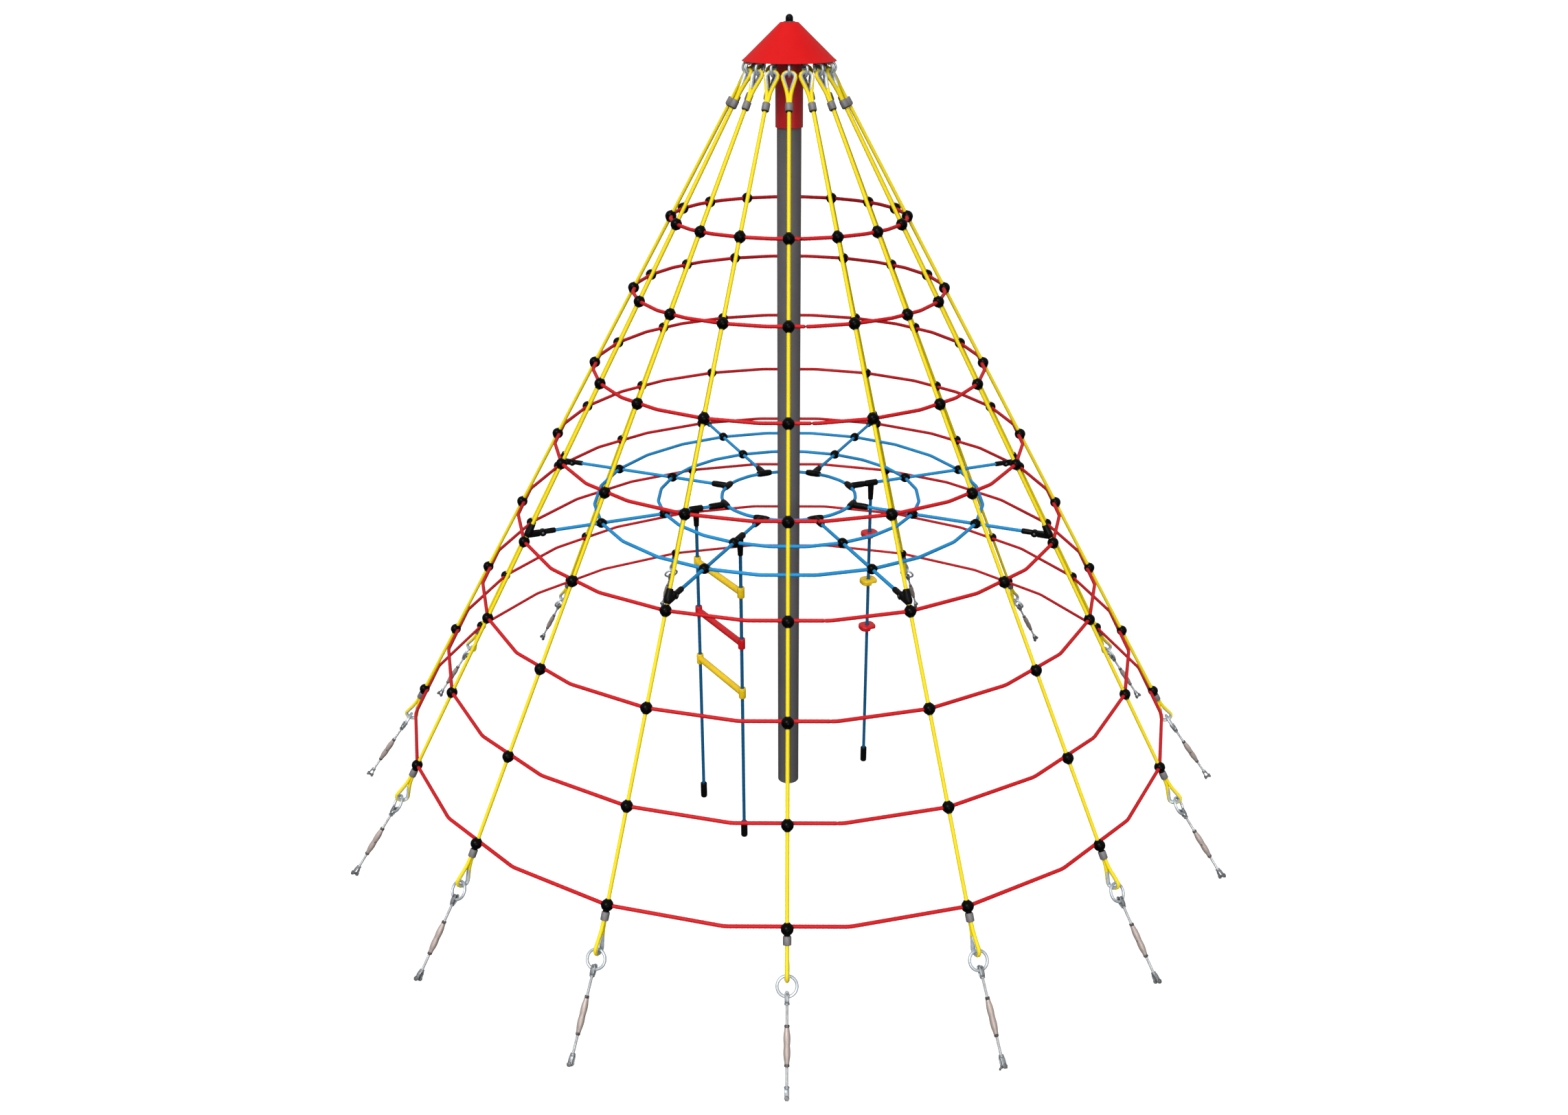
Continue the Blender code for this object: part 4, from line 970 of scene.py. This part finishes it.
for number in range(1, 9):
    node = f"net_ring_{number}"
    z = middle(node).z
    make_ring(node, on_guy(z).x, z, range(GUYS), DOWN_GUY, RED_ROPE, "red_rope_and_balls")


# Platform

SPOKES = range(1, GUYS, 2)
for label, radius in (("middle", PLATFORM_RADII[1]), ("outer", PLATFORM_RADII[2])):
    node = f"platform_{label}_ring"
    make_ring(node, radius, PLATFORM_Z, SPOKES, OUTWARD, BLUE_ROPE, "blue_rope", BALL_RADIUS * 0.92)


def add_socket(shape, place):
    """A tapered socket that hangs from its tee, with a hollow mouth for the rope."""
    top = PLATFORM_Z - 0.004
    mouth = SOCKET_MOUTH_Z
    profile = [(0.001, mouth + 0.0121), (0.0113, mouth + 0.012), (0.0114, mouth + 0.0008),
               (0.0117, mouth), (0.0123, mouth + 0.0002), (0.0129, mouth + 0.0012),
               (0.0132, mouth + 0.006), (0.0144, mouth + 0.032), (0.0157, mouth + 0.062),
               (0.0163, top)]
    shape.turned(profile, 36, BLACK_PLASTIC, Matrix.Translation((place.x, place.y, 0.0)))


def add_barrel(shape, centre, way, bore=0.0097):
    """A straight sleeve with soft ends round a rope."""
    half, radius = 0.035, 0.0168
    profile = mirrored([(bore, 0.0004 - half), (radius - 0.004, -half),
                        (radius - 0.0016, 0.0012 - half), (radius - 0.0003, 0.005 - half),
                        (radius, 0.012 - half)])
    shape.turned(profile, 36, BLACK_PLASTIC, axis_matrix(centre, way), closed=True)


def spoke_tee_shape(step):
    """The tee on the inner ring, with the socket that holds a spoke."""
    shape = Shape()
    turn = turn_to(step)
    way = turn @ OUTWARD
    centre = turn @ Vector((PLATFORM_RADII[0], 0, PLATFORM_Z))
    ends = [(0.0097, -0.0398), (0.0126, -0.04), (0.014, -0.0388), (0.0162, -0.028), (0.0172, -0.02)]
    collar = [*ends, (0.0174, 0.0), *mirrored(ends)[len(ends):]]
    shape.turned(collar, 36, BLACK_PLASTIC, axis_matrix(centre, turn @ SIDEWAYS), closed=True)
    length = TEE_SOCKET_END - PLATFORM_RADII[0]
    barrel = [(0.015, 0.004), (0.0165, 0.02), (0.0166, length - 0.03), (0.016, length - 0.012),
              (0.0148, length - 0.003), (0.0136, length - 0.0004), (0.0094, length)]
    shape.turned(barrel, 36, BLACK_PLASTIC, axis_matrix(centre, way))
    return shape


def guy_clamp_shape(step):
    """The sleeve clamped on a guy, its eye, and the forked socket at the spoke's end."""
    shape = Shape()
    turn = turn_to(step)
    way = turn @ OUTWARD
    side = turn @ SIDEWAYS
    eye_z = PLATFORM_Z - SPOKE_EYE_DROP
    socket = [(r, SPOKE_EYE - inside) for r, inside in (
        (0.0094, 0.063), (0.0118, 0.0628), (0.0132, 0.0605), (0.0138, 0.052), (0.0134, 0.026),
        (0.0128, 0.008))]
    shape.turned(socket, 36, BLACK_PLASTIC, axis_matrix(Vector((0, 0, PLATFORM_Z)), way))
    eye = turn @ Vector((SPOKE_EYE, 0, eye_z))
    boss = mirrored([(0.0058, -0.01), (0.0064, -0.0112), (0.0162, -0.0112), (0.0176, -0.0104),
                     (0.018, -0.0088)])
    shape.turned(boss, 40, BLACK_PLASTIC, axis_matrix(eye, side), closed=True)
    bolt = mirrored([(0.005, -0.0122), (0.0059, -0.0118)])
    shape.turned(bolt, 24, BOLT_METAL, axis_matrix(eye, side))
    neck_end = turn @ on_guy(eye_z)
    path = [eye.lerp(neck_end, t) for t in (0.2, 0.4, 0.6, 0.8, 1.0)]
    section = [(0.0098 * x, 0.017 * y) for x, y in rounded_square(circle(1.0, 32), 4)]
    shape.sweep(path, section, BLACK_PLASTIC, normal=side, scales=[0.98, 1.0, 1.0, 1.0, 0.96])
    half = 0.034
    sleeve = [(0.0097, 0.0004 - half), (0.0124, -half), (0.014, 0.002 - half), (0.0176, -0.024),
              (0.0192, -0.016), (0.019, -0.01), (0.017, 0.008), (0.0154, half - 0.008),
              (0.0148, half - 0.0016), (0.0136, half), (0.0097, half - 0.0004)]
    place = axis_matrix(turn @ on_guy(GUY_CLAMP_Z), turn @ -DOWN_GUY)
    shape.turned(sleeve, 40, BLACK_PLASTIC, place, closed=True)
    return shape


def make_platform():
    ring = Shape()
    add_rope(ring, ring_path(PLATFORM_RADII[0], PLATFORM_Z, 0.025), BLUE_ROPE, closed=True)
    piece("platform_hub_inner_ring", ring, "net", "blue_rope", ("platform_hub",), angle=60)
    for step in SPOKES:
        turn = turn_to(step)
        rope = Shape()
        ends = PLATFORM_RADII[0] + 0.05, SPOKE_EYE - 0.04
        add_rope(rope, [turn @ Vector((r, 0, PLATFORM_Z)) for r in ends], BLUE_ROPE)
        number = f"{step + 1:02d}"
        piece(f"platform_spoke_{number}_cord", rope, "net", "blue_rope", angle=60)
        piece(f"platform_spoke_{number}_tee", spoke_tee_shape(step), "net", "connector")
        piece(f"platform_spoke_{number}_clamp", guy_clamp_shape(step), "net", "connector")
    for side, (step, radius) in zip(("left", "right"), LADDER_SPOKES):
        shape = Shape()
        centre = at_spoke(step, radius, PLATFORM_Z)
        add_barrel(shape, centre, turn_to(step) @ OUTWARD)
        add_socket(shape, centre)
        piece(f"ladder_socket_{side}", shape, "net", "connector")
    tee = Shape()
    centre = at_spoke(*CLIMBING_SPOKE, PLATFORM_Z)
    add_barrel(tee, centre, turn_to(CLIMBING_SPOKE[0]) @ OUTWARD, bore=0.0099)
    add_socket(tee, centre)
    piece("climbing_tee_moulding", tee, "climbing_tee", "connector", ("climbing_tee",))


make_platform()


# Floor and light

SKY_SPREAD = (-0.35, 0.55, 0.06, 0.62)  # the heights of its two ends, and their strengths


def make_stage():
    shape = Shape()
    edges = (-700.0, 700.0)
    shape.rows([[Vector((x, y, 0)) for x in edges] for y in edges], floor_paint(), around=False)
    floor = bpy.data.objects.new("floor", shape.mesh("floor"))
    floor.location = (0, 0, -0.0005)
    bpy.context.scene.collection.objects.link(floor)
    floor.visible_diffuse = False
    floor.visible_glossy = False


def floor_paint():
    """A studio floor that glows enough to stay almost white under the net."""
    paint = Paint("pale_floor", 0.8, Specular_IOR_Level=0.0, Emission_Color=(1.0, 1.0, 1.0, 1.0),
                  Emission_Strength=0.86)
    drift = paint.noise(0.8, 3.0)
    paint.colour(drift, (0.35, (157.6,) * 3), (0.65, (165.74,) * 3))
    return paint.material


def sun(name, strength, angle, azimuth, elevation):
    lamp = bpy.data.lights.new(name, "SUN")
    lamp.energy = strength
    lamp.angle = math.radians(angle)
    obj = bpy.data.objects.new(name, lamp)
    obj.rotation_euler = (math.radians(90 - elevation), 0.0, math.radians(azimuth))
    bpy.context.scene.collection.objects.link(obj)


def make_light():
    """A white backdrop, lit as from a sky that dims downwards, with a soft key and a weak fill."""
    world = bpy.data.worlds.new("studio")
    world.use_nodes = True
    tree = world.node_tree
    place = tree.nodes.new("ShaderNodeTexCoord").outputs["Generated"]
    seen = tree.nodes.new("ShaderNodeLightPath").outputs["Is Camera Ray"]
    split = tree.nodes.new("ShaderNodeSeparateXYZ")
    spread = tree.nodes.new("ShaderNodeMapRange")
    tree.links.new(place, split.inputs[0])
    tree.links.new(split.outputs["Z"], spread.inputs["Value"])
    for socket, value in zip(("From Min", "From Max", "To Min", "To Max"), SKY_SPREAD):
        spread.inputs[socket].default_value = value
    backdrop = tree.nodes.new("ShaderNodeMath")
    backdrop.operation = "MAXIMUM"
    tree.links.new(spread.outputs["Result"], backdrop.inputs[0])
    tree.links.new(seen, backdrop.inputs[1])
    tree.links.new(backdrop.outputs[0], tree.nodes["Background"].inputs["Strength"])
    tree.nodes["Background"].inputs["Color"].default_value = (1.0, 1.0, 1.0, 1.0)
    bpy.context.scene.world = world
    sun("key", 2.2, 18.0, -28.0, 50.0)
    sun("fill", 1.1, 30.0, 8.0, 14.0)


make_stage()
make_light()
bpy.context.scene.view_settings.view_transform = "Standard"

bpy.context.view_layer.update()
